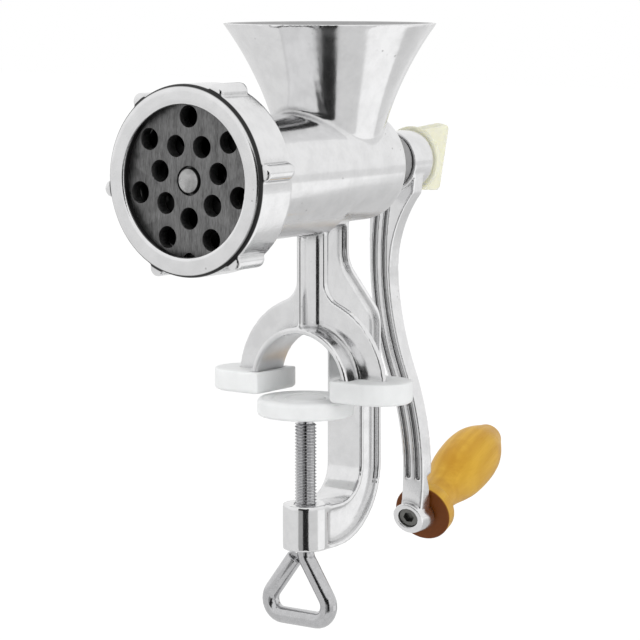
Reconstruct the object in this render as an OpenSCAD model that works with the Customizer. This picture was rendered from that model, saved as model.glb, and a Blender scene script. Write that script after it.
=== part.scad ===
// Hand crank meat grinder with a table clamp.
// The origin lies where the clamp screw's axis meets the table plane under the foot pads.
// +Z is up, the grinding plate faces -Y and the crank is at +Y.

/* [Barrel] */
// Height of the barrel's axis above the table plane
axis_h = 103; // [95:1:120]
// Outer radius of the barrel
barrel_r = 25.5; // [24:0.5:28]
// Thickness of the cast walls
wall = 3; // [2.5:0.1:4]
// Rear end of the barrel
barrel_rear_y = 45; // [42:1:48]
// Outer radius of the rear bearing neck
neck_r = 13; // [12.5:0.1:14]
// Length of the rear bearing neck
neck_len = 22.5; // [18:0.5:26]

/* [Plate and ring] */
// Diameter of the grinding plate
plate_d = 70; // [66:1:74]
// Thickness of the grinding plate
plate_t = 6; // [5:0.5:7]
// Diameter of the grinding holes
plate_hole_d = 9.5; // [6:0.5:10]
// Front face of the retaining ring, in front of the origin
ring_front = 88.6; // [86:0.2:92]
// Axial length of the retaining ring
ring_len = 23; // [21:0.2:25]
// Radial width of the lip that holds the plate
ring_lip_w = 2.5; // [2:0.1:4]
// Thickness of the lip in front of the plate
ring_lip_t = 4.4; // [3:0.2:6]
// Diameter of the six gripping lugs
lug_d = 7.4; // [6:0.2:9]
// Thread pitch of the retaining ring
ring_pitch = 2.5; // [2:0.25:3]

/* [Auger and knife] */
// Diameter of the pin that carries the knife and runs in the plate
nose_d = 10.9; // [9:0.1:11.5]
// Width of the knife's square seat
knife_sq = 9; // [7:0.5:9.5]
// Thickness of the knife
knife_t = 6; // [5:0.5:7]
// Radius of the auger's core
core_r = 9.5; // [8.5:0.5:11]
// Axial pitch of the auger's flight
flight_pitch = 30; // [24:1:40]
// Radius of the rear journal
journal_r = 9; // [8.5:0.1:9.5]

/* [Hopper] */
// Distance of the hopper's axis behind the origin
hopper_y = 18.8; // [16:0.2:21]
// Height of the hopper's rim above the barrel's axis
hopper_h = 65; // [55:1:80]
// Outer radius of the rim
rim_r = 48.3; // [42:0.1:52]
// Outer radius of the throat where it enters the barrel
throat_r = 24; // [22.5:0.5:25]
// Height of the throat's lower end above the barrel's axis
throat_h = 14; // [12:1:16]
// Radius of the flare's curve
flare_r = 150; // [110:5:200]

/* [Stand] */
// Inner radius of the arch
arch_r = 24; // [20:0.5:26]
// Radial depth of the arch
arch_w = 16.6; // [14:0.2:20]
// Height of the arch's centre above the table plane
arch_h = 5; // [4:0.5:6]
// Length of the arch's soffit along the barrel
soffit_len = 22; // [18:1:26]
// Thickness of the arch's web and soffit
web_t = 3; // [2.5:0.1:4]
// Width of the column between the arch and the barrel
column_w = 16; // [12:0.5:20]

/* [Clamp frame] */
// Distance of the clamp's inner face behind the screw
throat_y = 30.5; // [27:0.5:36]
// Depth of the clamp's bar
bar_d = 16; // [14:0.5:20]
// Width of the clamp's flanges
bar_w = 20; // [16:1:24]
// Thickness of the flanges
flange_t = 2; // [1.8:0.1:3]
// Thickness of the web between the flanges
bar_web = 13.5; // [8:0.5:15]
// Depth from the table plane to the top of the screw's boss
clamp_open = 49; // [44:1:60]
// Outer diameter of the boss
boss_d = 21; // [18:0.5:24]
// Height of the boss
boss_h = 21; // [18:0.5:24]

/* [Clamp screw] */
// Major diameter of the clamp screw
screw_d = 10; // [8:0.5:12]
// Pitch of the clamp screw
screw_pitch = 1.5; // [1.25:0.25:2]
// Diameter of the rod that forms the handle loop
rod_d = 7.8; // [6:0.1:8]
// Outer width of the handle loop
loop_w = 42; // [36:1:50]
// Height of the handle loop below the boss
loop_h = 36.5; // [34:0.5:44]
// Diameter of the pressure cap
cap_d = 44; // [40:1:50]
// Height of the pressure cap
cap_h = 8; // [7:0.5:10]

/* [Foot pads] */
// Length of one foot pad
pad_len = 32; // [29:1:38]
// Width of one foot pad
pad_w = 30; // [28:1:36]
// Height of the foot pads
pad_h = 10; // [9:0.5:12]
// Thickness of the pad under the foot
pad_floor = 4; // [3:0.5:5]

/* [Crank] */
// Distance of the grip's bolt below the crank's axis
crank_drop = 169; // [150:1:190]
// Sideways distance of the grip's bolt
crank_side = 10.5; // [5:0.5:14]
// Width of the crank arm
arm_w = 11.3; // [10:0.1:13]
// Thickness of the crank arm
arm_t = 8; // [7:0.5:9]
// Slope of the S curve where it changes sides
arm_slope = 21.5; // [16:0.5:24]
// Outer radius of the hub
hub_r = 14; // [13:0.5:16]
// Length of the hub
hub_len = 16; // [14:0.5:20]
// Outer radius of the grip's boss
eye_r = 7.4; // [7:0.1:9]

/* [Grip] */
// Length of the wooden grip
grip_len = 82; // [75:1:95]
// Largest radius of the grip
grip_r = 14.3; // [13:0.1:16]
// Radius of the grip's flange
grip_flange_r = 13.9; // [13:0.1:15]
// Smallest radius of the grip's neck
grip_neck_r = 9; // [8.5:0.1:10]
// Upward tilt of the grip's bolt
grip_tilt = 18; // [10:0.5:22]
// Sideways tilt of the grip's bolt
grip_splay = 8.5; // [0:0.5:12]
// Diameter of the sleeve nut that the grip spins on
sleeve_d = 8; // [7:0.5:9]

/* [Wing screw] */
// Radius of the wing screw's flange
wing_flange_r = 15.5; // [14:0.5:18]
// Height of the wing across its rear edge
wing_w = 32; // [26:1:38]
// Length of the wing from the hub
wing_len = 26; // [22:1:32]
// Thickness of the wing
wing_t = 5.5; // [4:0.5:7]
// Diameter of the wing screw's stud
stud_d = 8; // [6:0.5:9]

/* [Clearances] */
// Radial clearance of running fits
fit = 0.05; // [0.02:0.01:0.08]
// Gap between faces that move past each other
gap = 0.3; // [0.2:0.05:0.5]
// Axial clearance at the knife
knife_gap = 0.1; // [0.05:0.05:0.2]

/* [Hidden] */
$fn = 96;
cut = 1;                                   // overrun of cutting solids

// Stations along the barrel, front to rear
ring_y0 = -ring_front;
ring_y1 = ring_y0 + ring_len;
plate_y0 = ring_y0 + ring_lip_t;
plate_y1 = plate_y0 + plate_t;
head_y0 = plate_y0 + 2;                    // the ring stops on the plate, not on the head
knife_y0 = plate_y1 + knife_gap;
knife_y1 = knife_y0 + knife_t;
chamber_y1 = knife_y1 + gap;
head_y1 = chamber_y1 + wall;
neck_y1 = barrel_rear_y + neck_len;
thrust_t = 2;
shoulder_y = barrel_rear_y - wall - thrust_t;
hub_y0 = neck_y1 + 0.5;
hub_y1 = hub_y0 + hub_len;

// Radii around the barrel's axis
plate_r = plate_d / 2;
head_bore_r = plate_r + 0.15;
head_r = head_bore_r + wall - 0.15;
ring_bore_r = head_r + fit;
ring_r = ring_bore_r + 3.2;
ring_face_r = ring_r - 1.9;
lip_nose = 3;                              // length of the rounded corner of the lip
lip_shape = [[0, 0], [0.55, 0.22], [0.85, 0.55], [1, 1]];   // shares of its width and length
ring_hole_r = plate_r - ring_lip_w;
chamber_r = plate_r - 3.5;
bore_r = barrel_r - wall;
flight_r = bore_r - 0.5;
bush_r = journal_r + fit + 1.5;
drive_r = journal_r - 1.5;
drive_flat = drive_r * 1.5;
flight_root = 5;
flight_tip = 2.5;
collar_t = 4;                              // shoulder at the auger's rear end
collar_r = flight_r + 0.2;

// Grinding plate
hole_rings = [[plate_r * 0.46, -90], [plate_r * 0.78, 90]];   // radius, first angle
holes_per_ring = 7;
pin_chamfer = 0.3;
plate_sink = [0.85, 2.5];                   // wider mouth of the plate's bore: radius added, depth
notch_r = 3.2;
key_r = notch_r - 0.2;
key_at = plate_r - 1;

// Knife and nose pin
knife_hub_r = knife_sq / 2 + 5;
blade_w = knife_sq;
blade_r = chamber_r - 1.5;
blade_rake = 48;
blade_step = [blade_w * 0.2, knife_t * 0.4];        // hollow behind each cutting edge
tang_len = knife_t * 3.3;
nose_out = 0.6;                                     // the pin stands this far in front of the plate

// Hopper flare
throat_z = axis_h + throat_h;
rim_z = axis_h + hopper_h;
flare_chord = norm([rim_r - throat_r, rim_z - throat_z]);
flare_mid = [(rim_r + throat_r) / 2, (rim_z + throat_z) / 2];
flare_dir = [rim_r - throat_r, rim_z - throat_z] / flare_chord;
flare_off = sqrt(flare_r * flare_r - flare_chord * flare_chord / 4);
flare_c = flare_mid + flare_off * [flare_dir[1], -flare_dir[0]];

// Stand
arch_out = arch_r + arch_w;
web_y = 5;
column_x = column_w / 2;
hip_r = 10;
hip = [column_x + hip_r, arch_h + sqrt(pow(arch_out + hip_r, 2) - pow(column_x + hip_r, 2))];
neck_fillet = 6;
shoulder = [column_x + neck_fillet,
            axis_h - sqrt(pow(barrel_r + neck_fillet, 2) - pow(column_x + neck_fillet, 2))];
soffit_y0 = web_y - soffit_len / 2;
soffit_y1 = web_y + soffit_len / 2;
rib_base = 4.2;                            // half width of the column's rib where it leaves the web
rib_tip = 0.9;
rib_y0 = soffit_y0 + 0.8;
keel_r = 20;                               // radius of the keel under the barrel
keel_drop = 4;
foot_t = 4;

// Clamp frame, in the plane of Y and Z
bar_y0 = throat_y;
bar_y1 = throat_y + bar_d;
back_y = web_y + 15.3;                     // rear flange above the bend
boss_z1 = -clamp_open;
boss_z0 = boss_z1 - boss_h;
inner_r = 15;
inner_c = [bar_y0 - inner_r, boss_z1 - 1 + inner_r];
outer_r = inner_c[1] - boss_z0;
outer_c = [bar_y1 - outer_r, inner_c[1]];
knee_r = 14;
knee_c = [bar_y1 - knee_r, arch_h + 23.5];
bend_r = 14;
bend_c = [back_y + bend_r, knee_c[1] + bar_y1 - back_y - knee_r * 2 + (knee_r + bend_r) * sqrt(2)];
crown_z = arch_h + arch_r;
arm_in_r = bar_y0 - soffit_y1 + 0.5;
arm_in_c = [bar_y0 - arm_in_r, crown_z + 0.5 - arm_in_r];

// Foot pads
pad_x0 = arch_r - 4;
pad_x1 = pad_x0 + pad_len;
pad_edge = 2;
pad_fit = 0.1;                             // room between a foot and its pad

// Clamp screw
cap_z1 = -gap;
cap_z0 = cap_z1 - cap_h;
disc_t = 3;
disc_z1 = cap_z1 - 3;
disc_z0 = disc_z1 - disc_t;
disc_r = cap_d / 2 - 2.5;
groove_w = 1.2;                            // rings in the cap's face
groove_t = 0.7;
collar_z = disc_z0 - gap;
pin_r = screw_d / 2 - 1.5;
thread_z0 = boss_z0 + 4;
rod_r = rod_d / 2;
loop_z = boss_z0 - loop_h + rod_r;
loop_bend = 7;
loop_x0 = rod_r - loop_w * 0.733;          // corners of the loop before they are bent
loop_x1 = loop_w * 0.539 - rod_r;
shank_z = boss_z0 - 1.2;                    // where the straight shank runs into the loop
loop_path = [[0, shank_z + 1], [0, shank_z - 2.4], [loop_x1, loop_z], [loop_x0, loop_z],
             [-rod_r - 2.3, boss_z0 - 5]];

// Crank arm, in the plane of X and Z
arm_y0 = hub_y0 + 1;
arm_y1 = arm_y0 + arm_t;
eye_y0 = arm_y0 - 1.5;
eye_y1 = arm_y1 + 2;
hub_p = [0, axis_h];
eye_p = [crank_side, axis_h - crank_drop];
turn_p = [crank_side * 0.31, axis_h - crank_drop * 0.594];   // where the S curve changes sides
chord_1 = atan2(turn_p[0] - hub_p[0], hub_p[1] - turn_p[1]);
chord_2 = atan2(eye_p[0] - turn_p[0], turn_p[1] - eye_p[1]);
flute_w = arm_w * 0.21;
flute_at = arm_w * 0.23;
flute_depth = arm_t * 0.2;
root_len = hub_r * 4;                       // reach of the web that widens the arm at the hub
root_w = hub_r * 1.1;

// Grip, along its own tilted axis
eye_mid = [eye_p[0], eye_y1, eye_p[1]];
washer_t = 1.2;
grip_y0 = washer_t + gap;
sleeve_r = sleeve_d / 2;
bolt_r = sleeve_r - 1.5;
bolt_len = grip_len * 0.5;
recess_r = eye_r * 0.66;                    // recess in the eye's slanted front face
recess_t = 5;
bolt_head_r = recess_r - 0.3;
head_h = recess_t * 0.72;
socket_r = bolt_head_r * 0.6;
grip_end = grip_y0 + grip_len;
rim_t = 7.4;                                // thickness of the grip's flange
grip_shape = [[0.105, 0.3], [0.14, 0.08], [0.2, -0.01], [0.26, 0], [0.325, 0.17], [0.38, 0.4],
              [0.44, 0.65], [0.51, 0.87], [0.6, 0.99], [0.68, 1], [0.74, 0.94], [0.8, 0.8],
              [0.86, 0.52], [0.91, 0.2], [0.95, -0.08], [0.98, -0.28]];   // shares of the length and of the swell
nut_head_r = sleeve_r + 2;
nut_head_t = 2;

// Wing screw
wing_turn = 9.6;
washer_r = 10.5;
washer_y0 = hub_y1 - 1.5;
stud_r = stud_d / 2;
stud_y0 = hub_y0 + 2;
wing_y0 = hub_y1;
wing_y1 = wing_y0 + wing_len;

// ---- Shared shapes ----

// A shape in X and Z, carried from y0 to y1
module slab_y(y0, y1) {
    translate([0, y1, 0]) rotate([90, 0, 0]) linear_extrude(y1 - y0) children();
}

// A shape in Y and Z, carried from x0 to x1
module slab_x(x0, x1) {
    translate([x0, 0, 0]) rotate([90, 0, 90]) linear_extrude(x1 - x0) children();
}

// A profile of radius and Y, turned about the barrel's axis
module turned() {
    translate([0, 0, axis_h]) rotate([-90, 0, 0]) rotate_extrude() children();
}

// A round bar or bore on the barrel's axis
module on_axis(r, y0, y1) {
    translate([0, y0, axis_h]) rotate([-90, 0, 0]) cylinder(r = r, h = y1 - y0);
}

// A round bar along Y through any point of X and Z
module pin_y(p, r, y0, y1) {
    translate([p[0], y0, p[1]]) rotate([-90, 0, 0]) cylinder(r = r, h = y1 - y0);
}

// Points along an arc about c, from angle a to angle b in n steps
function arc(c, r, a, b, n) =
    [for (k = [0 : n]) c + r * [cos(a + (b - a) * k / n), sin(a + (b - a) * k / n)]];

// A solid that joins a list of rings, each with the same number of points
module sweep(rings) {
    n = len(rings[0]);
    last = (len(rings) - 1) * n;
    polyhedron(points = [for (ring = rings, p = ring) p],
        faces = concat(
            [[for (k = [n - 1 : -1 : 0]) k], [for (k = [0 : n - 1]) last + k]],
            [for (i = [0 : len(rings) - 2], k = [0 : n - 1], h = [0, 1])
                let (a = i * n + k, b = i * n + (k + 1) % n)
                    h == 0 ? [a, b, b + n] : [a, b + n, a + n]]),
        convexity = 8);
}

// Crests and roots of a thread, as a profile from height a to height b
function thread_profile(r, depth, pitch, a, b) =
    [for (i = [0 : floor((b - a) / pitch) - 1], s = [0 : 3])
        [s == 1 || s == 2 ? r : r - depth, a + pitch * (i + [0, 0.35, 0.5, 0.85][s])]];

// ---- Casting ----

module hopper_outline(inset) {
    difference() {
        polygon([[0, axis_h], [throat_r - inset, axis_h], [throat_r - inset, throat_z],
                 [rim_r - inset, rim_z], [0, rim_z]]);
        intersection() {
            translate(flare_c) circle(r = flare_r + inset, $fn = 360);
            translate([0, throat_z]) square([rim_r * 2, hopper_h]);
        }
    }
}

module barrel_outer() {
    turned() {
        polygon(concat([[0, head_y0]],
            thread_profile(head_r, 1.1, ring_pitch, head_y0, head_y1),
            [[head_r - 1.1, head_y1], [barrel_r, head_y1], [barrel_r, barrel_rear_y - 3],
             [barrel_r - 3, barrel_rear_y], [neck_r, barrel_rear_y], [neck_r, neck_y1],
             [0, neck_y1]]));
        translate([barrel_r - 3, barrel_rear_y - 3]) circle(r = 3, $fn = 48);
    }
    translate([0, head_y1 - 1, axis_h - barrel_r - keel_drop + keel_r]) rotate([-90, 0, 0])
        cylinder(r = keel_r, h = web_y - head_y1 + 4);
    translate([0, hopper_y, 0]) rotate_extrude() hopper_outline(0);
}

module barrel_hollow() {
    turned() polygon([[0, head_y0 - cut], [head_bore_r, head_y0 - cut], [head_bore_r, plate_y1],
        [chamber_r, plate_y1], [chamber_r, chamber_y1], [bore_r, chamber_y1],
        [bore_r, barrel_rear_y - wall], [bush_r, barrel_rear_y - wall], [bush_r, neck_y1 + cut],
        [0, neck_y1 + cut]]);
    translate([0, hopper_y, 0]) rotate_extrude() {
        hopper_outline(wall);
        translate([0, rim_z - 0.01]) square([rim_r - wall, cut]);
    }
    pin_y([0, axis_h - key_at], key_r, head_y0 - cut, plate_y1 + wall);
}

// Outline of the arch and its column, seen from the front
module stand_outline() {
    difference() {
        union() {
            intersection() {
                translate([0, arch_h]) circle(r = arch_out, $fn = 180);
                translate([-arch_out, pad_floor]) square([arch_out * 2, arch_out * 2]);
            }
            translate([-shoulder[0], arch_h + arch_r + 2])
                square([shoulder[0] * 2, axis_h - barrel_r * 0.7 - arch_h - arch_r - 2]);
        }
        translate([0, arch_h]) circle(r = arch_r, $fn = 120);
        translate([-arch_r, 0]) square([arch_r * 2, arch_h]);
        for (s = [-1, 1]) {
            translate([s * hip[0], hip[1]]) circle(r = hip_r);
            translate([s * shoulder[0], shoulder[1]]) circle(r = neck_fillet);
            translate([s * (column_x + neck_fillet) - neck_fillet, hip[1]])
                square([neck_fillet * 2, shoulder[1] - hip[1]]);
        }
    }
}

module stand() {
    slab_y(web_y - web_t / 2, web_y + web_t / 2) stand_outline();
    slab_y(soffit_y0, soffit_y1) difference() {
        intersection() {
            translate([0, arch_h]) circle(r = arch_r + web_t, $fn = 120);
            translate([-arch_out, pad_floor]) square([arch_out * 2, arch_out * 2]);
        }
        translate([0, arch_h]) circle(r = arch_r, $fn = 120);
        translate([-arch_r, 0]) square([arch_r * 2, arch_h]);
    }
    translate([0, 0, crown_z + web_t / 2])
        linear_extrude(axis_h - barrel_r - crown_z - web_t / 2)
            polygon([[-rib_base, web_y], [-rib_base, web_y - web_t / 2 - 0.5],
                     [-rib_tip - 0.5, rib_y0 + 5], [-rib_tip, rib_y0], [rib_tip, rib_y0],
                     [rib_tip + 0.5, rib_y0 + 5], [rib_base, web_y - web_t / 2 - 0.5],
                     [rib_base, web_y]]);
    for (s = [-1, 1])
        translate([s > 0 ? arch_r : -arch_out, soffit_y0, pad_floor])
            cube([arch_w, soffit_len, foot_t]);
}

// Outline of the clamp frame, drawn in by an inset from its flanges
module frame_outline(i) {
    top = axis_h - barrel_r + 4 - 2 * i;
    polygon(concat([[web_y, top], [back_y - i, top]],
        arc(bend_c, bend_r + i, 180, 225, 6),
        arc(knee_c, knee_r - i, 45, 0, 6),
        arc(outer_c, outer_r - i, 0, -90, 18),
        [[0, boss_z0 + i], [0, boss_z1 - 1 - i]],
        arc(inner_c, inner_r + i, -90, 0, 12),
        arc(arm_in_c, arm_in_r + i, 0, 90, 12),
        [[web_y, crown_z + 0.5 + i]]));
}

module clamp_frame() {
    difference() {
        slab_x(-bar_w / 2, bar_w / 2) frame_outline(0);
        for (s = [0, 1]) mirror([s, 0, 0])
            slab_x(bar_web / 2, bar_w / 2 + cut) frame_outline(flange_t);
    }
}

module body_casting() color("gainsboro") {
    difference() {
        union() {
            barrel_outer();
            stand();
            clamp_frame();
            translate([0, 0, boss_z0]) cylinder(d = boss_d, h = boss_h);
        }
        barrel_hollow();
        translate([0, 0, boss_z0 - cut]) cylinder(d = screw_d + 2 * fit, h = boss_h + 2 * cut);
        translate([0, 0, boss_z1 - 1])
            cylinder(r1 = screw_d / 2 + fit, r2 = screw_d / 2 + fit + 1.5, h = 1.5);
        translate([0, 0, boss_z0 - 0.5])
            cylinder(r1 = screw_d / 2 + fit + 1.5, r2 = screw_d / 2 + fit, h = 1.5);
    }
}

// ---- Head of the grinder ----

module retaining_ring() color("silver") {
    difference() {
        union() {
            turned() polygon(concat([[0, ring_y0]],
                [for (p = lip_shape) [ring_face_r + p[0] * (ring_r - ring_face_r),
                                      ring_y0 + p[1] * lip_nose]],
                [[ring_r, ring_y1 - 0.8], [ring_r - 0.8, ring_y1], [0, ring_y1]]));
            for (k = [0 : 5]) {
                a = 7 + 60 * k;
                p = [cos(a) * ring_r, axis_h + sin(a) * ring_r];
                pin_y(p, lug_d / 2, ring_y0 + lip_nose - 0.4, ring_y1 - 4.5);
                translate([p[0], ring_y0 + lip_nose - 1.2, p[1]]) rotate([-90, 0, 0])
                    cylinder(r1 = lug_d / 2 - 0.8, r2 = lug_d / 2, h = 0.8);
                translate([p[0], ring_y1 - 4.5, p[1]]) sphere(d = lug_d, $fn = 48);
            }
        }
        turned() polygon([[0, ring_y0 - cut], [ring_hole_r + 0.5 + cut, ring_y0 - cut],
            [ring_hole_r, ring_y0 + 0.5], [ring_hole_r, plate_y0], [plate_r + 0.4, plate_y0],
            [plate_r + 0.4, head_y0 - 0.4], [ring_bore_r, head_y0 - 0.4], [ring_bore_r, ring_y1 + cut],
            [0, ring_y1 + cut]]);
    }
}

module grinding_plate() color("dimgray") {
    difference() {
        on_axis(plate_r, plate_y0, plate_y1);
        on_axis(nose_d / 2 + fit, plate_y0 - cut, plate_y1 + cut);
        on_axis(nose_d / 2 + plate_sink[0], plate_y0 - cut, plate_y0 + plate_sink[1]);
        for (ring = hole_rings, k = [0 : holes_per_ring - 1]) {
            a = ring[1] + k * 360 / holes_per_ring;
            pin_y([ring[0] * cos(a), axis_h + ring[0] * sin(a)], plate_hole_d / 2,
                  plate_y0 - cut, plate_y1 + cut);
        }
        pin_y([0, axis_h - key_at], notch_r, plate_y0 - cut, plate_y1 + cut);
    }
}

module plate_key_pin() color("silver") {
    pin_y([0, axis_h - key_at], key_r, head_y0, plate_y1 + wall);
}

module cutting_knife() color("lightsteelblue") {
    difference() {
        union() {
            on_axis(knife_hub_r, knife_y0, knife_y1);
            for (k = [0 : 3])
                translate([0, 0, axis_h]) rotate([0, 45 + 90 * k, 0]) difference() {
                    translate([-blade_w / 2, knife_y0, 0]) cube([blade_w, knife_t, blade_r]);
                    translate([-blade_w / 2, knife_y1, -cut]) rotate([0, 0, blade_rake])
                        translate([-blade_w, -knife_t, 0])
                            cube([blade_w, knife_t * 2, chamber_r + 2 * cut]);
                    translate([blade_step[0], knife_y0 + blade_step[1], knife_hub_r])
                        cube([blade_w, knife_t, chamber_r]);
                }
        }
        translate([-knife_sq / 2 - fit, knife_y0 - cut, axis_h - knife_sq / 2 - fit])
            cube([knife_sq + 2 * fit, knife_t + 2 * cut, knife_sq + 2 * fit]);
    }
}

module nose_pin() color("silver") {
    front = plate_y0 - nose_out;
    seat = knife_y0 - knife_gap / 2;
    turned() polygon([[0, front], [nose_d / 2 - pin_chamfer, front],
        [nose_d / 2, front + pin_chamfer], [nose_d / 2, seat], [0, seat]]);
    translate([-knife_sq / 2, seat, axis_h - knife_sq / 2])
        cube([knife_sq, knife_y1 - seat, knife_sq]);
    on_axis(knife_sq / 2, knife_y1, knife_y1 + tang_len);
}

// The helical flight, thinner at its tip than at its root
module flight() {
    y0 = knife_y1 + flight_root / 2 + gap;
    y1 = shoulder_y - collar_t;
    steps = ceil((y1 - y0) / flight_pitch * 24);
    sweep([for (i = [0 : steps])
        let (a = 15 * i, y = y0 + (y1 - y0) * i / steps)
            [for (c = [[core_r - 1, -flight_root], [core_r - 1, flight_root],
                       [flight_r, flight_tip], [flight_r, -flight_tip]])
                [c[0] * cos(a), y + c[1] / 2, axis_h + c[0] * sin(a)]]]);
}

module auger() color("gainsboro") {
    difference() {
        union() {
            on_axis(core_r, knife_y1, shoulder_y);
            flight();
            on_axis(collar_r, shoulder_y - collar_t, shoulder_y);
            on_axis(journal_r, shoulder_y, hub_y0);
            intersection() {
                on_axis(drive_r, hub_y0, washer_y0 - 0.5);
                translate([-drive_flat / 2, hub_y0, axis_h - drive_r])
                    cube([drive_flat, hub_len, drive_r * 2]);
            }
        }
        on_axis(knife_sq / 2, knife_y1 - cut, knife_y1 + tang_len);
        on_axis(stud_r + fit, stud_y0 - stud_d, hub_y1 + cut);
    }
}

module rear_bushing() color("ivory") {
    difference() {
        on_axis(bush_r, barrel_rear_y - wall, neck_y1);
        on_axis(journal_r + fit, barrel_rear_y - wall - cut, neck_y1 + cut);
    }
}

module thrust_washer() color("ivory") {
    difference() {
        on_axis(bore_r - 1, shoulder_y + gap / 2, barrel_rear_y - wall);
        on_axis(journal_r + fit, shoulder_y - cut, barrel_rear_y);
    }
}

// ---- Crank ----

// Centre of the arc that leaves p and meets q at an angle to their chord
function arc_centre(p, q, angle, side) =
    let (d = q - p, l = norm(d)) (p + q) / 2 + side * [d[1], -d[0]] / l * l / (2 * tan(angle));
function arc_radius(p, q, angle) = norm(q - p) / (2 * sin(angle));

// A curved strip from p to q, at an offset from the arc's own line
module arc_strip(p, q, angle, side, w, off) {
    c = arc_centre(p, q, angle, side);
    r = arc_radius(p, q, angle) + side * off;
    difference() {
        intersection() {
            translate(c) circle(r = r + w / 2, $fn = 360);
            polygon([c, c + (p - c) * 1.2, c + (q - c) * 1.2]);
        }
        translate(c) circle(r = r - w / 2, $fn = 360);
    }
}

module arm_line(w, off, end) {
    arc_strip(hub_p, turn_p, arm_slope - chord_1, -1, w, off);
    arc_strip(turn_p, end, arm_slope - chord_2, 1, w, off);
}

// Along the grip's axis, from a height above or below the washer's seat
module on_grip_axis() {
    translate(eye_mid) rotate([grip_tilt, 0, grip_splay]) rotate([-90, 0, 0]) children();
}

// The same direction, at the eye's front face
module on_eye_face() {
    translate([0, eye_y0 - eye_y1, 0]) on_grip_axis() children();
}

// A web that widens the arm where it meets the hub
module arm_root() {
    c = arc_centre(hub_p, turn_p, arm_slope - chord_1, -1);
    r = norm(hub_p - c);
    start = atan2(hub_p[1] - c[1], hub_p[0] - c[0]);
    function at(drop, off) = c + (r + off) * [cos(start + drop / r * 180 / PI),
                                              sin(start + drop / r * 180 / PI)];
    function grow(drop) = root_w * pow((root_len - drop) / root_len, 2);
    drops = [for (k = [0 : 10]) hub_r * 0.85 + (root_len - hub_r * 0.85) * k / 10];
    polygon(concat([hub_p + hub_r * [cos(-22), sin(-22)]],
        [for (d = drops) at(d, -arm_w / 2 - grow(d))],
        [for (k = [10 : -1 : 0]) at(drops[k], arm_w / 2 + grow(drops[k]) * 0.3)],
        [hub_p + hub_r * [cos(190), sin(190)], hub_p]));
}

module crank_arm() color("gainsboro") {
    difference() {
        union() {
            on_axis(hub_r, hub_y0, hub_y1);
            slab_y(arm_y0, arm_y1) {
                arm_line(arm_w, 0, eye_p);
                arm_root();
            }
            pin_y(eye_p, eye_r, eye_y0 - eye_r * 0.4, eye_y1 + 1.5);
        }
        slab_y(arm_y0 - cut, arm_y0 + flute_depth) difference() {
            union() {
                arm_line(flute_w, flute_at, eye_p);
                arm_line(flute_w, -flute_at, eye_p);
            }
            translate(hub_p) circle(r = hub_r + 3);
            translate(eye_p) circle(r = eye_r + 12);
        }
        intersection() {
            on_axis(drive_r + fit, hub_y0 - cut, hub_y1 + cut);
            translate([-drive_flat / 2 - fit, hub_y0 - cut, axis_h - drive_r * 2])
                cube([drive_flat + 2 * fit, hub_len + 2 * cut, drive_r * 4]);
        }
        on_axis(washer_r + 0.1, washer_y0, hub_y1 + cut);
        on_eye_face() {
            translate([0, 0, -eye_r]) cylinder(r = eye_r * 1.5, h = eye_r);
            translate([0, 0, -cut]) cylinder(r = recess_r, h = recess_t + cut);
        }
        pin_y(eye_p, bolt_r + 0.1, eye_y0, eye_y1 - bolt_r);
        on_grip_axis() {
            cylinder(r = eye_r * 3, h = 20);
            translate([0, 0, -bolt_r * 2]) cylinder(r = bolt_r + 0.1, h = bolt_r * 4);
        }
    }
}

module crank_washer() color("silver") {
    difference() {
        on_axis(washer_r, washer_y0, hub_y1);
        on_axis(stud_r + fit, washer_y0 - cut, hub_y1 + cut);
    }
}

module wing_screw_stud() color("silver") {
    on_axis(stud_r, stud_y0, wing_y0 + 12);
}

module wing_screw_knob() color("ivory") {
    difference() {
        union() {
            turned() polygon([[0, wing_y0 + 0.02], [wing_flange_r - 0.6, wing_y0 + 0.02],
                [wing_flange_r, wing_y0 + 0.6], [wing_flange_r, wing_y0 + 2.6],
                [9, wing_y0 + 6], [6.5, wing_y0 + 14], [0, wing_y0 + 14]]);
            translate([0, 0, axis_h]) rotate([0, wing_turn, 0])
                slab_x(-wing_t / 2, wing_t / 2) polygon([[wing_y0 + 2, -wing_flange_r + 1],
                    [wing_y1 - 2, -wing_w / 2], [wing_y1, -wing_w / 2 + 1.5],
                    [wing_y1, wing_w / 2 - 1.5], [wing_y1 - 2, wing_w / 2],
                    [wing_y0 + 2, wing_flange_r - 1]]);
        }
        on_axis(stud_r, wing_y0 - cut, wing_y0 + 12);
    }
}

// ---- Grip ----

module handle_bolt() color("silver") {
    on_eye_face() translate([0, 0, recess_t - head_h]) difference() {
        cylinder(r = bolt_head_r, h = head_h);
        translate([0, 0, -cut]) cylinder(r = socket_r, h = head_h * 0.6 + cut, $fn = 6);
    }
    pin_y(eye_p, bolt_r, eye_y0 + recess_t - 0.5, eye_y1 - bolt_r - 0.2);
    on_grip_axis() translate([0, 0, 0.2 - bolt_r * 2])
        cylinder(r = bolt_r, h = bolt_len + bolt_r * 2);
}

module handle_sleeve_nut() color("silver") on_grip_axis() difference() {
    union() {
        translate([0, 0, washer_t])
            cylinder(r = sleeve_r, h = grip_end - nut_head_t * 1.5 - washer_t);
        translate([0, 0, grip_end - nut_head_t * 2.5]) cylinder(r = nut_head_r, h = nut_head_t);
    }
    translate([0, 0, washer_t - cut]) cylinder(r = bolt_r, h = bolt_len + cut - washer_t);
}

module handle_washer() color("silver") on_grip_axis() difference() {
    cylinder(r = eye_r - 0.9, h = washer_t);
    translate([0, 0, -cut]) cylinder(r = bolt_r + 0.1, h = washer_t + 2 * cut);
}

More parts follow.
